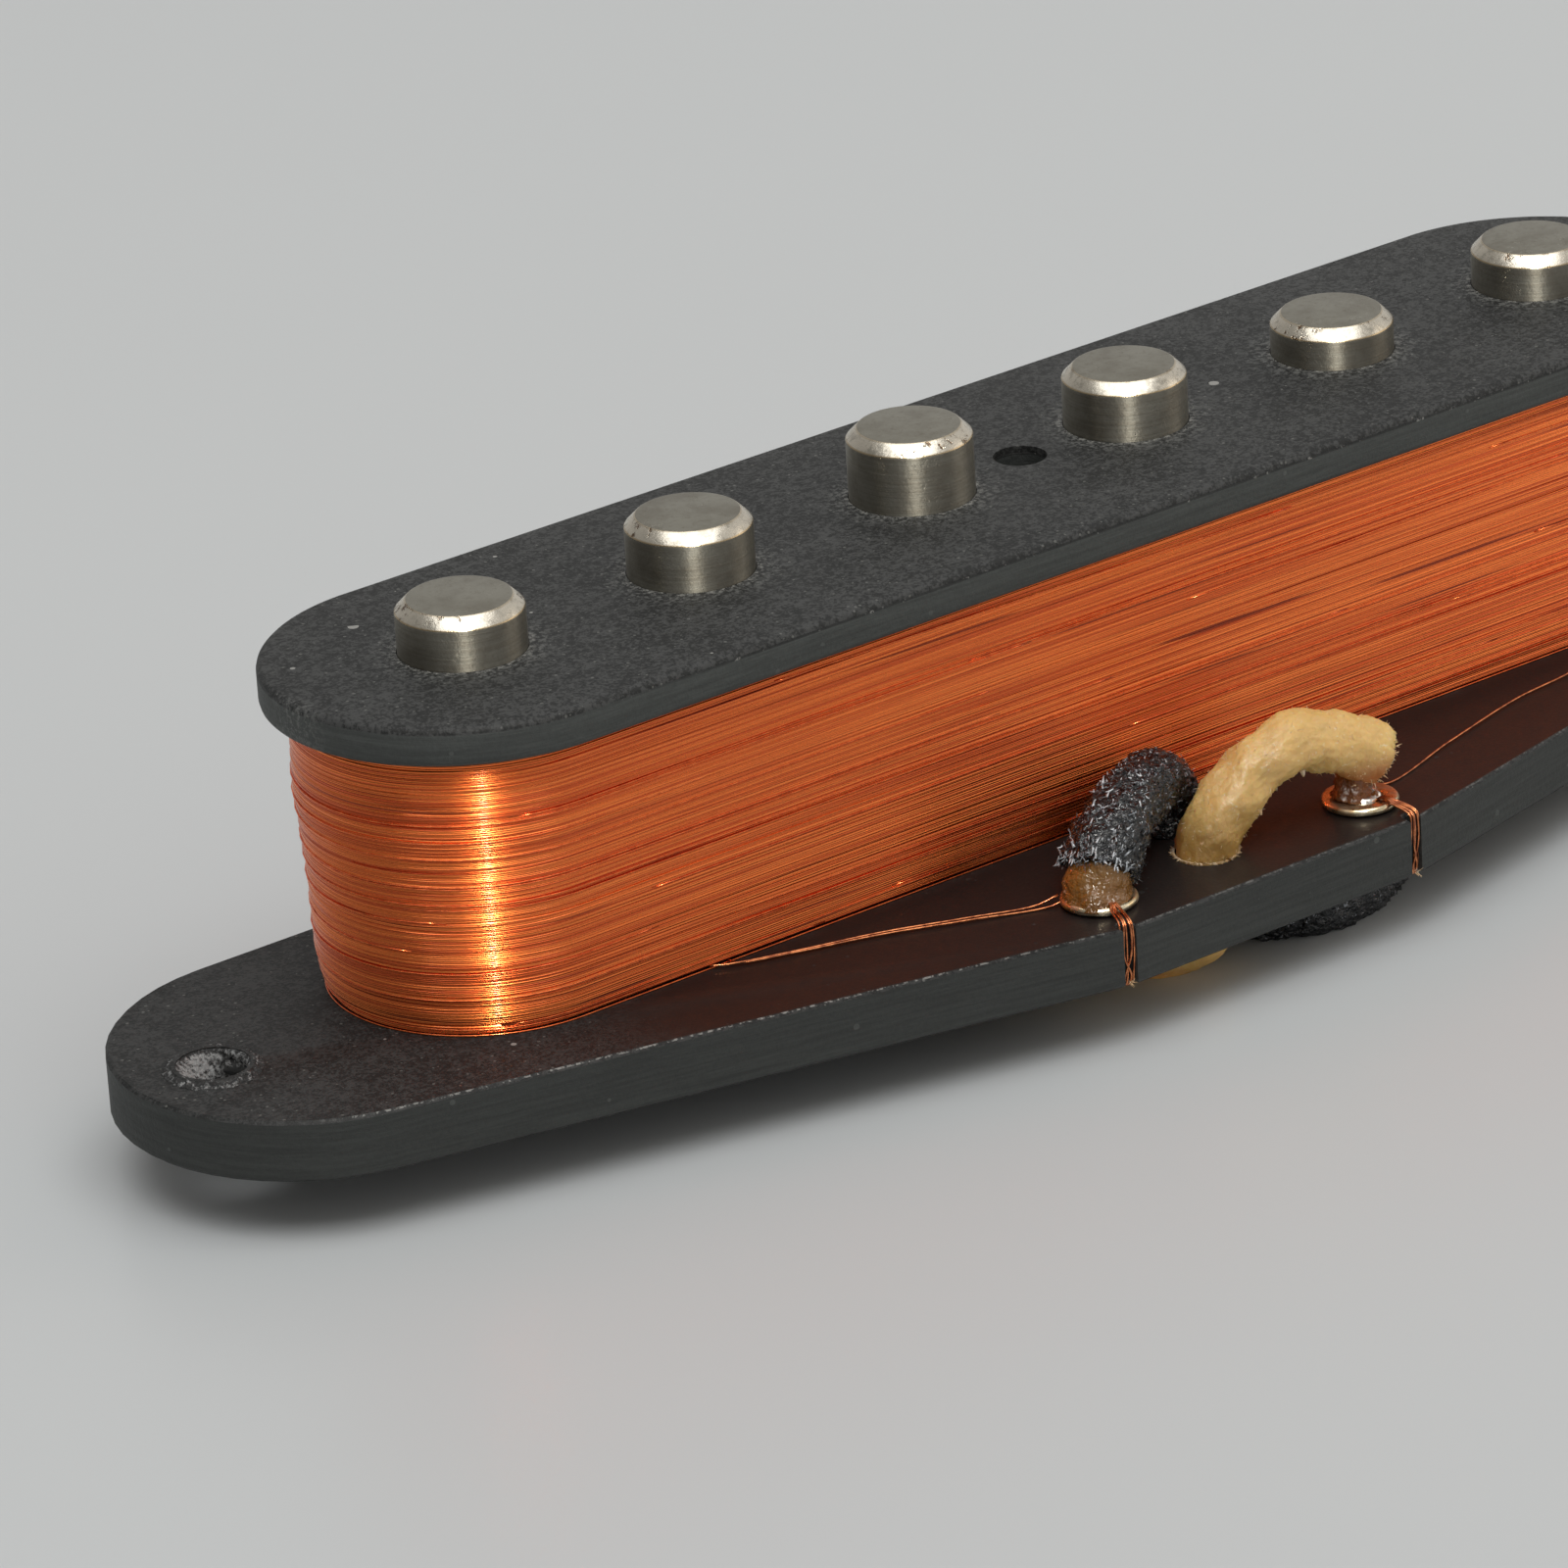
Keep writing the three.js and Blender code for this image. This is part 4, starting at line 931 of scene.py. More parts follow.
# Rod magnets: cast and centreless-ground alloy rods, bevelled at the top, pressed through both plates. Their
# flats are dull and a little tarnished, the ground bevels are bright, a few pits have rusted, and fine
# grinding lines run round their sides. The sides and flats are also toned darker than the bevels: painted
# shade.
ROD_BEVEL = 0.45
ROD_EDGE = 0.05
METAL_PALE = (0.47, 0.45, 0.38)
METAL_DULL = (0.36, 0.335, 0.275)
METAL_TARNISH = (0.17, 0.145, 0.11)
METAL_BRIGHT = (0.74, 0.68, 0.57)
EDGE_GOLD = (0.4, 0.28, 0.13)
RUST = (0.12, 0.055, 0.018)
# tone darkens the same metal on the sides and flats, against the bevels: painted shade.
ROD_FACES = {
    "side": dict(tone=0.58, smoothest=0.36, rougher=0.16, pit_depth=0.4),
    "flat": dict(tone=0.75, smoothest=0.32, rougher=0.16, pit_depth=1.5),
    "bevel": dict(tone=1, smoothest=0.16, rougher=0.2, pit_depth=1.5),
}


def rod_finish(number, face, top, tone, smoothest, rougher, pit_depth):
    metal = Finish(f"rod_{face}_{number}")
    fine = metal.noise(4.2, 4, 0.75)
    pits = metal.noise(2.6, 4, 0.7).ramp(0.56, 0.64) * metal.noise(0.42 + 0.015 * number).ramp(0.49, 0.6)
    colour = metal.noise(0.7, 4, 0.65).ramp(0.35, 0.7).mix(toned(METAL_PALE, tone), toned(METAL_DULL, tone))
    colour = (fine.ramp(0.52, 0.75) * 0.5).mix(colour, METAL_TARNISH)
    relief = fine - pits * pit_depth
    if face == "bevel":
        z = metal.axes()[2]
        lower_line = z.ramp(top - ROD_BEVEL + 0.07, top - ROD_BEVEL + 0.01)
        upper_line = z.ramp(top - 0.07, top - 0.03)
        worn = metal.noise(2.6, 3, 0.75).ramp(0.46, 0.66) * 0.6
        colour = (lower_line * 0.8 + upper_line * 0.35).mix(worn.mix(METAL_BRIGHT, METAL_DULL), EDGE_GOLD)
        colour = (pits * 0.85).mix(colour, RUST)
    if face == "side":
        ground = metal.noise(1, 3, 0.6, stretch=(0.25, 0.25, 9))
        colour = (ground.ramp(0.4, 0.65) * 0.3).mix(colour, METAL_TARNISH)
        relief = ground * 1.2 + relief
        tangent = new_node(metal.tree, "ShaderNodeTangent", {}, direction_type="RADIAL", axis="Z")
        metal.set(Anisotropic=0.9, Anisotropic_Rotation=0.25, Tangent=tangent)
    metal.set(Base_Color=colour, Metallic=1, Roughness=fine * rougher + smoothest)
    metal.bump(relief, 0.5, 0.02)
    return metal


for number, rod_place in enumerate(rod_places, 1):
    node_name = f"pole_magnet_{number}"
    low, high = (corner.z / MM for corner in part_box(node_name))
    rod = upright_rod(f"rod_magnet_{number}", rod_place, low, high, ROD_DIAMETER)
    bevel_edges(rod, ROD_BEVEL, 1, lambda a, b: min(a.z, b.z) > high - SAME_PLACE)
    bevel_edges(rod, ROD_EDGE, 2, lambda a, b: abs(a.z - b.z) < SAME_PLACE and (a - b).xy.length < 1)
    smooth_by_angle(rod, 40)
    side, flat, bevel = (rod_finish(number, face, high, **look) for face, look in ROD_FACES.items())
    fit(rod, side, "magnet", node_name)
    rod.data.materials.append(flat.material)
    rod.data.materials.append(bevel.material)
    for polygon in rod.data.polygons:
        if polygon.normal.z > 0.95:
            polygon.material_index = 1
        elif polygon.normal.z > 0.3:
            polygon.material_index = 2


# Coil: some thousands of turns of hair-thin enamelled copper wire, wound by hand round the rods, so the outer
# turns lie in uneven layers, draw in towards the bottom plate and cross each other here and there. One closed
# shell carries the turns that show, and stray ones cross them.
COIL_FOOT_Z = DECK_Z + 0.05
COIL_LENGTH = 11.1
COIL_BUILD = 4.15
COIL_BUILD_SHARES = [0.84, 0.9, 0.925, 0.935, 0.965, 1, 0.995, 0.985]
COIL_LEVEL_SHARES = [0, 0.07, 0.17, 0.35, 0.56, 0.7, 0.88, 1]
ROD_REACH = ROD_DIAMETER / 2 + ROD_FIT
INNER_REACH = ROD_REACH + 0.15
WIRE_DIAMETER = 0.07
WIRE_RELIEF = WIRE_DIAMETER * 0.6
LAYER_SUNK = 0.03
TURN_RIDGE = ((0, 0), (0.2, 0.75), (0.5, 1), (0.8, 0.75))
TURNS_SEEN = 157
SUNK_SHARE = 0.16
SUNK_DEPTH = 0.055
OUT_SPREAD = 0.012
RISE_SPREAD = 0.016
STATIONS = 4
END_STEPS = 40
SIDE_STEPS = 15
ARC_WAY = math.pi * (ROD_REACH + COIL_BUILD)
SIDE_WAY = 2 * ROW_HALF
HALF_WAY = ARC_WAY + SIDE_WAY
FULL_WAY = 2 * HALF_WAY
COPPER_GAP_SHADE = (0.3, 0.036, 0.006)


def coil_reach(level):
    """How far the coil's surface is from the row of rods, at a level from 0, its foot, to 1."""
    level = min(max(level, 0), 1)
    i = max(1, next(k for k, share in enumerate(COIL_LEVEL_SHARES) if level <= share))
    low, high = COIL_LEVEL_SHARES[i - 1:i + 1]
    share = (level - low) / (high - low)
    share = (share * share * (3 - 2 * share) + share) / 2
    least, most = COIL_BUILD_SHARES[i - 1:i + 1]
    return ROD_REACH + COIL_BUILD * (least + (most - least) * share)


def round_the_rods(along, reach, z):
    """A place on the way round the rods, which goes round one end, down a side, and the same again."""
    half, within = divmod(along % FULL_WAY, HALF_WAY)
    sign = -1 if half else 1
    angle = math.pi * (min(within / ARC_WAY, 1) - 0.5)
    slide = max(within - ARC_WAY, 0) / SIDE_WAY
    x = ROW_HALF * (1 - 2 * slide) + reach * math.cos(angle)
    return Vector((sign * x, sign * reach * math.sin(angle) + ROD_LINE_Y, z))


def turn_offsets(chooser):
    """How far one turn lies out of its place, outwards and upwards, at the stations of one full way round."""
    offsets = []
    for _ in range(2 * STATIONS):
        dip = SUNK_DEPTH if chooser.random() < SUNK_SHARE else 0
        offsets.append((chooser.gauss(0, OUT_SPREAD) - dip, chooser.gauss(0, RISE_SPREAD)))
    return offsets


def offsets_at(offsets, along):
    """The offsets at a place on the way round. Along the sides a wire is straight from end to end."""
    half, within = divmod(along, HALF_WAY)
    step = within / ARC_WAY * (STATIONS - 1)
    if within >= ARC_WAY:
        step = STATIONS - 1 + (within - ARC_WAY) / SIDE_WAY
    a = int(half) * STATIONS + int(step)
    b = (a + 1) % len(offsets)
    return [offsets[a][i] + (offsets[b][i] - offsets[a][i]) * (step % 1) for i in (0, 1)]


coil_ways = []
for start in (0, HALF_WAY):
    coil_ways += [start + ARC_WAY * step / END_STEPS for step in range(END_STEPS)]
    coil_ways += [start + ARC_WAY + SIDE_WAY * step / SIDE_STEPS for step in range(SIDE_STEPS)]
chooser = random.Random(11)
turns = [turn_offsets(chooser) for _ in range(TURNS_SEEN)]
coil_rings = [(turn, rise, WIRE_RELIEF * (1 - out)) for turn in range(TURNS_SEEN) for rise, out in TURN_RIDGE]
coil_rings.append((TURNS_SEEN - 1, 1, WIRE_DIAMETER))
points = [round_the_rods(along, INNER_REACH, COIL_FOOT_Z) for along in coil_ways]
heights = [COIL_FOOT_Z]
for turn, rise, sunk in coil_rings:
    level = (turn + rise) / TURNS_SEEN
    heights.append(COIL_FOOT_Z + COIL_LENGTH * level)
    for along in coil_ways:
        outwards, upwards = offsets_at(turns[turn], along)
        if rise == 0 and turn:
            below = offsets_at(turns[turn - 1], along)
            outwards, upwards = (outwards + below[0]) / 2, (upwards + below[1]) / 2
        upwards *= min(1, 12 * level, 12 * (1 - level))
        reach = coil_reach(level) - LAYER_SUNK - sunk + outwards
        points.append(round_the_rods(along, reach, heights[-1] + upwards))
points += [round_the_rods(along, INNER_REACH, heights[-1]) for along in coil_ways]
heights.append(heights[-1])
faces, uvs = [], []
count = len(coil_ways)
for i, low in enumerate(heights):
    above = (i + 1) % len(heights)
    for k, left in enumerate(coil_ways):
        beside = (k + 1) % count
        faces.append((i * count + k, i * count + beside, above * count + beside, above * count + k))
        right = coil_ways[beside] if beside else FULL_WAY
        uvs += [(left, low), (right, low), (right, heights[above]), (left, heights[above])]
coil = make_object("coil_winding", points, faces, uvs)


def copper_finish(name, colour, deep, roughness, wire_tones=False):
    """Enamelled copper. The UV map's u runs along the wires and its v across them, both in millimetres."""
    copper = Finish(name)
    uv = new_node(copper.tree, "ShaderNodeUVMap", {}, uv_map="along")
    if wire_tones:
        tone = uv.noise(1, 2, 0.7, stretch=(0.03, 9, 1)).ramp(0.36, 0.6).mix(deep, colour)
        turned_uv = new_node(copper.tree, "ShaderNodeMapping", {0: uv, "Rotation": (0, 0, math.radians(0.7))})
        # Painted shade: dark lines where the turns leave gaps between them.
        gaps = uv.noise(1, 1, 0.5, stretch=(0.055, 5.2, 1))
        gaps = gaps.maths("MINIMUM", turned_uv.noise(1, 1, 0.5, stretch=(0.06, 4.3, 1)))
        tone = gaps.ramp(0.33, 0.25).mix(tone, COPPER_GAP_SHADE)
    else:
        tone = copper.noise(3, 3).ramp(0.35, 0.65).mix(deep, colour)
    copper.set(Base_Color=tone, Metallic=1, Coat_Weight=0.6, Coat_Roughness=0.13,
               Roughness=uv.noise(1, 2, 0.6, stretch=(0.5, 15, 1)) * 0.2 + (roughness - 0.1))
    return copper


coil_copper = copper_finish("coil_copper", (1.0, 0.235, 0.044), (0.68, 0.1, 0.016), 0.25, wire_tones=True)
fit(coil, coil_copper, "copper_coil", "coil_core", "coil_outer_turns")

STRAY_TURNS = 40
STRAY_SIDES = 6
STRAY_SUNK = 0.06
STRAY_LIFT = 0.062
random.seed(5)
parts = []
for _ in range(STRAY_TURNS):
    begin = random.random()
    span = 0.15 + 0.35 * random.random()
    level = 0.03 + 0.94 * random.random()
    slope = (random.random() - 0.5) * 0.06
    path = []
    steps = max(12, round(span * 150))
    for step in range(steps + 1):
        here = min(max(level + slope * step / steps, 0.012), 0.988)
        lift = max(0, math.sin(math.pi * step / steps)) ** 0.3
        along = (begin + span * step / steps) * FULL_WAY
        reach = coil_reach(here) - STRAY_SUNK + STRAY_LIFT * lift
        path.append(round_the_rods(along, reach, COIL_FOOT_Z + COIL_LENGTH * here))
    parts.append(tube_data(path, WIRE_DIAMETER / 2, STRAY_SIDES))
foot_reach = coil_reach(0) + WIRE_DIAMETER * 0.55
foot_turn = [round_the_rods(along, foot_reach, DECK_Z + WIRE_DIAMETER * 0.6) for along in coil_ways]
parts.append(tube_data([*foot_turn, foot_turn[0]], WIRE_DIAMETER * 0.55, STRAY_SIDES))
strays = make_object("coil_crossing_turns", *join_data(parts))
fit(strays, copper_finish("stray_copper", (1.0, 0.23, 0.055), (0.8, 0.14, 0.03), 0.25), "copper_coil")


# Eyelets: thin brass tubes pressed through the plate near its front edge, rolled over into a rim on top and
# clinched below. The leads and the coil's two ends are soldered into them.
EYELET_X = 6.4
EYELET_Y = -11.5
EYELET_REACH = 0.85
EYELET_WALL = 0.22
RIM_REACH = 1.475
RIM_HEIGHT = 0.34
CLINCH_REACH = 1.325
CLINCH_HEIGHT = 0.22
EYELET_FIT = 0.04
HEAP = 0.45
EYELET_SIDES = 64
POOL_SIDES = 40
POOL_FIT = 0.02
POOL_RISE = 0.16

eyelet_brass = Finish("eyelet_brass")
flux = eyelet_brass.noise(0.9, 3, 0.6).ramp(0.48, 0.62)
tarnish = eyelet_brass.noise(2.6, 3).ramp(0.4, 0.7).mix((0.88, 0.77, 0.55), (0.68, 0.52, 0.29))
eyelet_brass.set(Base_Color=(flux * 0.5).mix(tarnish, (0.22, 0.09, 0.03)), Metallic=1,
                 Roughness=flux * 0.2 + 0.24)
eyelet_brass.bump(eyelet_brass.noise(2.6, 3), 0.4, 0.04)
soldered_joint = Finish("soldered_joint")
amber = soldered_joint.noise(1.4, 3, 0.6).ramp(0.47, 0.6)
soldered_joint.set(Base_Color=amber.mix((0.72, 0.7, 0.66), (0.24, 0.08, 0.014)), Metallic=1 - amber * 0.85,
                   Roughness=amber * -0.14 + 0.28)
soldered_joint.bump(soldered_joint.noise(2, 3), 0.6, 0.08)

rim_roll = RIM_HEIGHT / 2
clinch_roll = CLINCH_HEIGHT / 2
rim_z = DECK_Z + EYELET_FIT + rim_roll
clinch_z = UNDERSIDE_Z - EYELET_FIT - clinch_roll
eyelet_section = [
    *arc(CLINCH_REACH - clinch_roll, clinch_z, clinch_roll, -90, 90, 6),
    (EYELET_REACH + EYELET_WALL, clinch_z + clinch_roll),
    (EYELET_REACH + EYELET_WALL, rim_z - rim_roll),
    *arc(RIM_REACH - rim_roll, rim_z, rim_roll, -90, 90, 8),
    *arc(EYELET_REACH + rim_roll, rim_z, rim_roll, 90, 180, 6),
    *arc(EYELET_REACH + clinch_roll, clinch_z, clinch_roll, 180, 270, 5),
]


def roughen(made, above_z, depth, per_millimetre, seed):
    """Moves what lies above a height up and down by noise."""
    for vertex in made.data.vertices:
        place = vertex.co / MM
        if place.z > above_z:
            vertex.co.z += depth * noise.noise(place * per_millimetre + Vector((0, 0, seed))) * MM


for side_name, side in (("left", -1), ("right", 1)):
    centre = (side * EYELET_X, EYELET_Y + ROD_LINE_Y)
    eyelet = turned(f"brass_eyelet_{side_name}", eyelet_section, centre, EYELET_SIDES)
    roughen(eyelet, DECK_Z + EYELET_FIT + 0.02, 0.06, 1.1, side * 4)
    fit(eyelet, eyelet_brass, "eyelet_brass", f"eyelet_{side_name}")

    fill = EYELET_REACH - POOL_FIT
    pool_z = DECK_Z + POOL_RISE
    heap = HEAP if side > 0 else 0
    pool_profile = [(fill - 0.02, UNDERSIDE_Z), (fill, UNDERSIDE_Z + 0.1), (fill, pool_z),
                    (fill - 0.05, pool_z + 0.08 + 0.4 * heap), (fill * 0.8, pool_z + 0.02 + 0.7 * heap),
                    (fill * 0.5, pool_z - 0.04 + heap), (fill * 0.25, pool_z - 0.05 + 1.1 * heap)]
    pool = turned(f"solder_joint_{side_name}", pool_profile, centre, POOL_SIDES, ring=False)
    roughen(pool, DECK_Z, 0.07 + 0.5 * heap, 2.3, side * 6)
    fit(pool, soldered_joint, "solder", f"solder_{side_name}")


# Coil ends: a few fine wires come out of each eyelet, bend over its rim, go down the notch in the plate's
# edge and back under it. Two start wires run from the coil's foot to the left eyelet, and a finish wire runs
# from the right eyelet to the coil.
NOTCH_X = 7.0
NOTCH_Y = -13.65
STRAND = 0.085
WRAP_STRANDS = 5
WRAP_CLEAR = 0.1
WRAP_STEP = 0.12
WIRE_STEP = 0.25
WIRE_Z = DECK_Z + 0.12
WIRE_STAGGER = 0.03
START_ROUTES = [
    [(-19.44, -5.95), (-19.3, -6.4), (-17.2, -7.2), (-14, -8.2), (-10.9, -9.5), (-7.9, -10.68),
     (-7.3, -10.95)],
    [(-20.3, -5.9), (-19.7, -6.3), (-17.3, -7.12), (-14, -8.08), (-10.9, -9.34), (-8.4, -10.28),
     (-7.6, -10.6)],
]
FINISH_ROUTES = [
    [(7.2, -10.75), (8.1, -10.98), (12.5, -9.7), (17.2, -8.4), (20.2, -8), (23.3, -7.2), (26.3, -6.3)],
]

wire_copper = copper_finish("wire_copper", (0.74, 0.27, 0.1), (0.3, 0.08, 0.025), 0.3)
notch_reach = Vector((NOTCH_X - EYELET_X, NOTCH_Y - EYELET_Y)).length
wrap_section = [
    (EYELET_REACH - WRAP_CLEAR, DECK_Z - 0.3),
    *arc(EYELET_REACH + rim_roll, rim_z, rim_roll + WRAP_CLEAR, 180, 90, 3),
    *arc(RIM_REACH - rim_roll, rim_z, rim_roll + WRAP_CLEAR, 80, 40, 2),
    *((notch_reach + out, DECK_Z + rise) for out, rise in ((0.12, 0.12), (0.2, -0.3), (0.16, -1.2))),
    *((notch_reach + out, UNDERSIDE_Z + rise)
      for out, rise in ((0.1, 0.4), (0.06, 0.08), (-0.12, -0.1), (-0.35, -0.14))),
]


def to_notch(side):
    """An eyelet's centre and the heading to its notch, at height 0 and with y counted from the rods."""
    centre = Vector((side * EYELET_X, EYELET_Y, 0))
    return centre, (Vector((side * NOTCH_X, NOTCH_Y, 0)) - centre).normalized()


random.seed(23)
for wire_name, side in (("start_wire", -1), ("finish_wire", 1)):
    eyelet_centre, heading = to_notch(side)
    aside = Vector((-heading.y, heading.x, 0))
    parts = []
    for strand in range(WRAP_STRANDS):
        lane = strand - (WRAP_STRANDS - 1) / 2
        path = []
        for i, (out, height) in enumerate(wrap_section):
            share = i / (len(wrap_section) - 1)
            bow = math.sin(math.pi * min(1, max(0, (share - 0.45) / 0.5)))
            swing = lane * STRAND * (0.72 + bow) * (-1 if strand % 2 and share > 0.75 else 1)
            swing += 0.05 * (random.random() - 0.5)
            lift = 0.06 * bow * (strand % 2)
            place = eyelet_centre + heading * (out + lift) + aside * swing
            path.append(to_model((place.x, place.y, height)))
        tail = (0.3 * (random.random() - 0.5), 0.25 * random.random(), -0.12 * random.random())
        path.append(path[-1] + Vector(tail))
        parts.append(tube_data(smooth_line(path, WRAP_STEP), STRAND / 2, WIRE_SIDES))
    wrap = make_object(f"{wire_name}_wrap_strands", *join_data(parts))
    fit(wrap, wire_copper, "copper_wire", f"{wire_name}_wrap")

for wire_name, routes, at_eyelet in (("start_wire", START_ROUTES, -1), ("finish_wire", FINISH_ROUTES, 0)):
    parts = []
    for i, route in enumerate(routes):
        path = [to_model((x, y, WIRE_Z + WIRE_STAGGER * i)) for x, y in route]
        path[at_eyelet].z = DECK_Z + EYELET_FIT + RIM_HEIGHT + STRAND * 0.6
        parts.append(tube_data(smooth_line(path, WIRE_STEP), STRAND / 2, WIRE_SIDES))
    wire = make_object(f"{wire_name}_strands", *join_data(parts))
    fit(wire, wire_copper, "copper_wire", wire_name)


# Held leads: each comes from under the plate, up through its hole and over in an arch to its eyelet. There
# the braid is cut ragged round a cotton wrap, and the tinned wire goes down into the solder. The plate rests
# on the two stretches below it, so they are pressed flat there.
HELD_LEADS = {
    "cream": dict(
        side=1, wrap_reach=(0.62, 0.66), wrap_slot="cotton_wrap", core_start=0.9,
        relief=dict(seed=8.7, lumps=0.2, crust=0.06, fray=0.02),
        arch=[(7.2, -11.5, 1.72), (6.5, -11.45, 2.2), (5.7, -11.35, 2.62), (4.7, -11.25, 3.05),
              (3.5, -11.15, 3.3), (2.05, -11, 2.9), (0.85, -10.9, 2.1), (-0.1, -10.8, 1.1),
              (-0.6, -10.75, 0)],
        wrap=[(6.6, -11.47, 1.75), (6.2, -11.45, 1.1), (6.0, -11.4, 0.33)],
        under=[(-0.6, -10.75, 3.6), (-0.6, -10.75, 2.42), (-0.96, -10.54, 1.42), (-1.83, -10.04, 1),
               (-3.2, -8.9, 1), (-4.9, -6.2, 1), (-6, -2.4, 1), (-4.6, 2, 1), (0.5, 4.9, 1), (8, 5.4, 1),
               (18, 4.9, 1), (29, 4.1, 1)],
        hairs=dict(seed=42, count=300, lean=0.5, spread=0.5, rise=(0.3, 0.4), length=(0.1, 0.2), width=0.035),
        end_hairs=dict(count=200, depth=0.22, length=(0.08, 0.14), width=0.08)),
    "black": dict(
        side=-1, wrap_reach=(1.1, 1.3), wrap_slot="amber_wrap", core_start=0.35,
        relief=dict(seed=3.1, lumps=0.14, crust=0.12, fray=0.24),
        arch=[(-6.15, -11.35, 1.1), (-5.6, -11.05, 1.8), (-4.5, -10.45, 2.3), (-3.1, -9.6, 2.45),
              (-1.9, -8.95, 2.4), (-0.75, -8.3, 2.05), (-0.15, -7.95, 1.1), (-0.1, -7.9, 0)],
        wrap=[(-5.9, -11.2, 1.5), (-6.25, -11.38, 0.9), (-6.42, -11.46, 0.4), (-6.46, -11.48, 0.06)],
        under=[(-0.1, -7.9, 3.6), (-0.1, -7.9, 2.42), (0.27, -8.08, 1.42), (1.18, -8.5, 1), (2.4, -9.5, 1),
               (3.6, -10.5, 1), (4.9, -11, 1), (6.3, -10.9, 1), (8.2, -10.1, 1), (12, -8, 1), (18, -5.5, 1),
               (28, -3.8, 1)],
        hairs=dict(seed=41, count=2000, lean=0.7, spread=0.7, rise=(0.1, 0.3), length=(0.12, 0.22),
                   width=0.045),
        end_hairs=dict(count=240, depth=0.4, length=(0.15, 0.25), width=0.05)),
}
HELD_STEP = 0.13
HELD_SIDES = 88
WRAP_SIDES = 56
COTTON_STEP = 0.08
HAIR_SUNK = 0.02
CRUMB_SUNK = 0.03
CORE_OFF_CENTRE = 0.2
UNDER_ROOM = 0.3
CLINCH_ROOM = 0.1
UNDER_CLINCH = 0.05
UNDER_PLATE = 0.02
FRAY_REACH = 0.95
FRAY_DEPTH = 0.1
FOOT_HAIR_SUNK = 0.08
TUFT_SUNK = 0.14
ARCH_LENGTH = 11
PRESSED_FROM = ARCH_LENGTH + 3
SOCKET_REACH = 0.9
SOCKET_DEPTH = 0.6
SOCKET_STEP = 0.25
SOCKET_LIP = (0.02, SOCKET_REACH + 0.12)
CUT_DRAWN_IN = 0.04
RAGGED_DEPTH = 0.34
RAGGED_PITCH = 0.7
RAGGED_BACK = 0.1
FOOT_HAIRS = 260
INNER_TUFTS = 14
FRAYED_ENDS = 9
# Painted glints: near-white crumbs of wax, set only on the lit side of the black lead.
GLINT_CRUMBS = 460
LIT_SIDE = Vector((-0.75, -0.25, 0.6))


def crusted_relief(seed, lumps, crust, fray):
    """The radius of a cover whose wax has set in lumps and small crests, and that swells where it is cut."""
    def radius(along, turn):
        place = place_round(turn, LEAD_DIAMETER / 2, along + seed)
        crests = abs(noise.noise(place * 2.6)) + abs(noise.noise(place * 5.9))
        swelling = fray * (max(0, 1 - along / 2.4) + 0.35 * min(1, max(0, 10 - along)))
        return (LEAD_DIAMETER / 2 + lumps * (noise.noise(place * 0.9) - 0.5) + crust * (crests * 1.6 - 0.6)
                + swelling)
    return radius


def wrap_relief(narrow, wide, length):
    """The radius of a lumpy cotton wrap that widens along its length."""
    def radius(along, turn):
        place = place_round(turn, 1.6, along * 1.6)
        lumps = 0.2 * noise.noise(place) + 0.12 * abs(noise.noise(place * 2.7))
        return narrow + (wide - narrow) * min(1, along / length) + lumps
    return radius


def held_cover(name, line, radius):
    """A tube like the free leads', but its first end is a ragged cut round a socket for the wrap."""
    rings, marks = tube_rings(line, radius, HELD_SIDES)
    bearing = bearings_along(line)[0]
    heading = bearing[0]
    ragged = [RAGGED_DEPTH * noise.noise(Vector((k * RAGGED_PITCH, len(name), 0))) - RAGGED_BACK
              for k in range(HELD_SIDES)]
    rings[0] = [(point - heading * cut).lerp(line[0], CUT_DRAWN_IN) for point, cut in zip(rings[0], ragged)]
    even = [0] * HELD_SIDES
    for depth, reach, cuts in ((*SOCKET_LIP, ragged), (SOCKET_STEP, SOCKET_REACH, even),
                               (SOCKET_DEPTH, SOCKET_REACH, even)):
        rings.insert(0, [line[0] + heading * (depth - cut) + spoke(bearing, k / HELD_SIDES) * reach
                         for k, cut in enumerate(cuts)])
        marks.insert(0, -depth)
    return shell_data(rings, marks, line[0] + heading * SOCKET_DEPTH, line[-1])


def hair_data(root, heading, bend, length, thickness):
    """One short fibre with three sides, bent and thin at its tip."""
    shares = (0, 0.25, 0.5, 0.75, 1)
    line = [root + (heading + bend * share * 0.5) * length * share for share in shares]
    rings = []
    for centre, bearing, share in zip(line, bearings_along(line), shares):
        rings.append([centre + spoke(bearing, k / 3) * thickness / 2 * (1 - 0.75 * share) for k in range(3)])
    return shell_data(rings, shares)


def random_direction():
    return Vector((random.gauss(0, 1), random.gauss(0, 1), random.gauss(0, 1))).normalized()


def fibre_hairs_finish(name, colour, pale, roughness):
    hairs = Finish(name)
    hairs.set(Base_Color=hairs.noise(2.4).ramp(0.5, 0.62).mix(colour, pale), Coat_Weight=0.4,
              Coat_Roughness=0.2, Roughness=hairs.noise(3) * 0.2 + (roughness - 0.1))
    return hairs


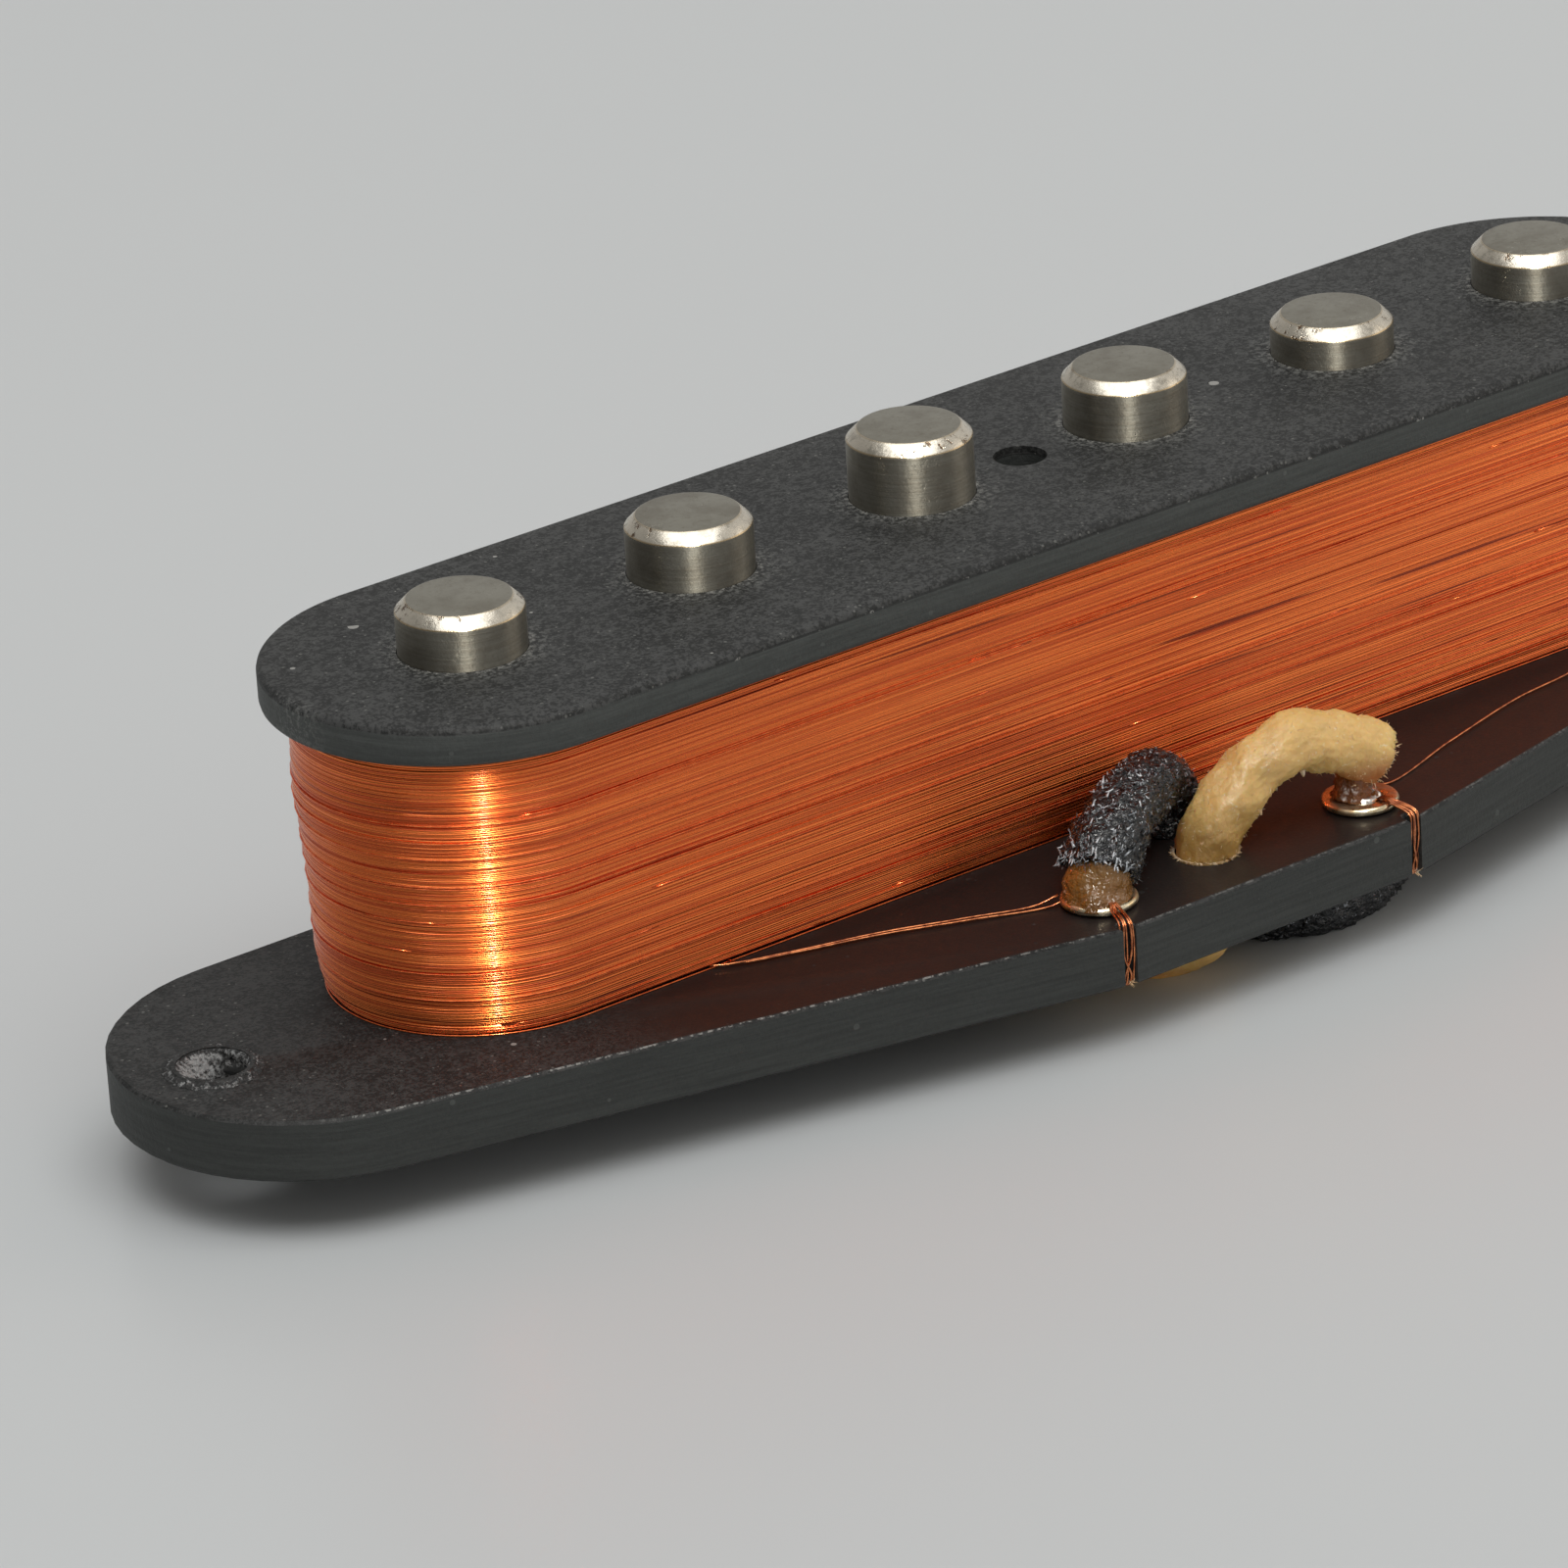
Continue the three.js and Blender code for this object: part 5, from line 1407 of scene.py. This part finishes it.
hair_finish = {
    # Part of the black fibres is coloured pale to stand in for glints: painted glints on real fibres.
    "black": fibre_hairs_finish("black_fibres", (0.006, 0.007, 0.009), (0.5, 0.53, 0.57), 0.22),
    "cream": fibre_hairs_finish("cream_fibres", (0.82, 0.57, 0.3), (0.9, 0.72, 0.5), 0.45),
}
wrap_finish = {
    "black": cloth_finish("amber_wrap", (0.42, 0.2, 0.04), (0.2, 0.08, 0.015), (0.74, 0.46, 0.32),
                          roughness=0.4, depth=0.12, wax=0.22, gaps=0.1, crust=1.4, crust_scale=3),
    "cream": cloth_finish("cotton_wrap", (0.3, 0.09, 0.018), (0.16, 0.05, 0.01), (0.6, 0.36, 0.2),
                          roughness=0.4, depth=0.1, wax=0.22, gaps=0.2, crust=1.4, crust_scale=3),
}
# The crumbs' near-white colour is a painted glint.
glint_crumbs = Finish("glint_crumbs")
glint_crumbs.set(Base_Color=glint_crumbs.noise(2.6).ramp(0.4, 0.6).mix((0.3, 0.32, 0.34), (0.95, 0.98, 1.0)),
               Roughness=glint_crumbs.noise(4) * 0.2 + 0.12)


def cover_hairs(line, bearings, seen, radius, count, lean, spread, rise, length, width):
    """Short fibres that lie along a lead's cover."""
    hairs = []
    for _ in range(count):
        i = int(random.random() * seen)
        turn = random.random()
        out = spoke(bearings[i], turn)
        root = line[i] + out * (radius(i * HELD_STEP, turn) - HAIR_SUNK)
        towards = bearings[i][0] * random.choice((-1, 1)) * lean
        towards += bearings[i][0].cross(out) * random.gauss(0, spread)
        towards += out * (rise[0] + rise[1] * random.random())
        reach = length[0] + length[1] * random.random() ** 2
        hairs.append(hair_data(root, towards.normalized(), random_direction() * 0.6, reach, width))
    return hairs


def cut_hairs(start, bearing, count, depth, length, width):
    """Frayed fibres round a lead's cut end."""
    hairs = []
    for _ in range(count):
        out = spoke(bearing, random.random())
        root = start + out * (FRAY_REACH + depth * random.random()) + bearing[0] * FRAY_DEPTH
        towards = (bearing[0] * -0.6 + out * 0.4 + random_direction() * 0.8).normalized()
        reach = length[0] + length[1] * random.random()
        hairs.append(hair_data(root, towards, random_direction() * 0.8, reach, width))
    return hairs


def cream_hairs(line, bearings, seen, foot):
    """Fibres round the cream lead's hole, tufts inside its arch, and frayed ends at both notches."""
    hairs = []
    for _ in range(FOOT_HAIRS):
        angle = random.random() * 2 * math.pi
        out = Vector((math.cos(angle), math.sin(angle), 0))
        towards = (out + Vector((0, 0, 0.15)) + random_direction() * 0.5).normalized()
        root = foot + out * (LEAD_DIAMETER / 2 - FOOT_HAIR_SUNK)
        hairs.append(hair_data(root, towards, random_direction() * 0.5, 0.1 + 0.12 * random.random(), 0.05))
    for _ in range(INNER_TUFTS):
        i = int((0.3 + 0.62 * random.random()) * seen)
        _, across, upright = bearings[i]
        inner = -upright if upright.z > 0 else upright
        out = (inner + across * random.gauss(0, 0.35)).normalized()
        towards = (out + random_direction() * 0.4).normalized()
        root = line[i] + out * (LEAD_DIAMETER / 2 - TUFT_SUNK)
        hairs.append(hair_data(root, towards, random_direction() * 0.4, 0.16 + 0.12 * random.random(), 0.3))
    for side in (-1, 1):
        notch = to_model((side * NOTCH_X, NOTCH_Y - 0.25, UNDERSIDE_Z + 0.12))
        for _ in range(FRAYED_ENDS):
            towards = (Vector((0.5, -0.8, -0.1)) + random_direction() * 0.7).normalized()
            root = notch + random_direction() * 0.08
            hairs.append(hair_data(root, towards, random_direction(), 0.22, 0.045))
    return hairs


def painted_glint_crumbs(line, bearings, seen, radius):
    """Crumbs of wax, coloured near-white and set only on the side of the black lead that the light falls on:
    painted glints.
    """
    crumbs = []
    while len(crumbs) < GLINT_CRUMBS:
        i = int(random.random() ** 1.5 * seen)
        turn = random.random()
        out = spoke(bearings[i], turn)
        if out.dot(LIT_SIDE) < 0.1 + 0.35 * random.random():
            continue
        root = line[i] + out * (radius(i * HELD_STEP, turn) - CRUMB_SUNK)
        towards = bearings[i][0] * random.choice((-1, 1)) * 0.8 + random_direction() * 0.5 + out * 0.25
        size = 0.06 + 0.1 * random.random() ** 3
        crumbs.append(hair_data(root, towards.normalized(), random_direction() * 0.5, size * 2, size))
    return crumbs


right_eyelet = to_model((EYELET_X, EYELET_Y, 0))
seen = round(ARCH_LENGTH / HELD_STEP)
for colour_name, lead in HELD_LEADS.items():
    exit_y = FREE_LEADS[colour_name]["exit"][1]
    route = [*((x, y, DECK_Z + z) for x, y, z in lead["arch"]), *lead["under"],
             (PLATE_END_X - TIP_GAP - LEAD_DIAMETER, exit_y, LEAD_AXIS_Z), (PLATE_END_X, exit_y, LEAD_AXIS_Z)]
    line = [to_model(point) for point in smooth_line(route, HELD_STEP)]
    radius = crusted_relief(**lead["relief"])
    points, faces, uvs = held_cover(colour_name, line, radius)
    press_flat(points, 0)
    for point in points:
        if point.z >= UNDERSIDE_Z + UNDER_ROOM:
            continue
        if (point - right_eyelet).xy.length < CLINCH_REACH + CLINCH_ROOM:
            point.z = min(point.z, clinch_z - clinch_roll - UNDER_CLINCH)
        elif (point - line[0]).length > PRESSED_FROM:
            point.z = min(point.z, UNDERSIDE_Z - UNDER_PLATE)
    cover = make_object(f"{colour_name}_lead_cloth", points, faces, uvs)
    fit(cover, lead_cloth[colour_name], f"{colour_name}_cloth", f"{colour_name}_lead")

    wrap_line = [to_model((x, y, DECK_Z + z)) for x, y, z in smooth_line(lead["wrap"], COTTON_STEP)]
    wrap_radius = wrap_relief(*lead["wrap_reach"], lengths_along(wrap_line)[-1])
    points, faces, uvs = tube_data(wrap_line, wrap_radius, WRAP_SIDES)
    press_flat(points, DECK_Z + EYELET_FIT)
    wrap = make_object(f"{colour_name}_lead_cotton", points, faces, uvs)
    fit(wrap, wrap_finish[colour_name], lead["wrap_slot"], f"{colour_name}_lead_inner_wrap")

    eyelet_centre, heading = to_notch(lead["side"])
    away = eyelet_centre - heading * CORE_OFF_CENTRE
    inwards = (Vector(route[1]) - Vector(route[0])).normalized()
    core = [Vector(route[0]) + inwards * lead["core_start"]]
    for z in (DECK_Z + EYELET_FIT + RIM_HEIGHT, DECK_Z - RIM_HEIGHT, (DECK_Z + UNDERSIDE_Z) / 2):
        core.append((away.x, away.y, z))
    wires = stranded([to_model(point) for point in smooth_line(core, WRAP_STEP)])
    fit(make_object(f"{colour_name}_lead_wires", *wires), tinned_wire, "tinned_wire",
        f"{colour_name}_lead_conductor")

    bearings = bearings_along(line)
    hairs = dict(lead["hairs"])
    random.seed(hairs.pop("seed"))
    parts = cover_hairs(line, bearings, seen, radius, **hairs)
    parts += cut_hairs(line[0], bearings[0], **lead["end_hairs"])
    if colour_name == "cream":
        foot_x, foot_y, _ = lead["arch"][-1]
        parts += cream_hairs(line, bearings, seen, to_model((foot_x, foot_y, DECK_Z + 0.03)))
    else:
        crumbs = painted_glint_crumbs(line, bearings, seen, radius)
        fit(make_object("black_lead_wax_glints", *join_data(crumbs)), glint_crumbs, "black_cloth")
    fibres = make_object(f"{colour_name}_lead_fibres", *join_data(parts))
    fit(fibres, hair_finish[colour_name], f"{colour_name}_cloth")
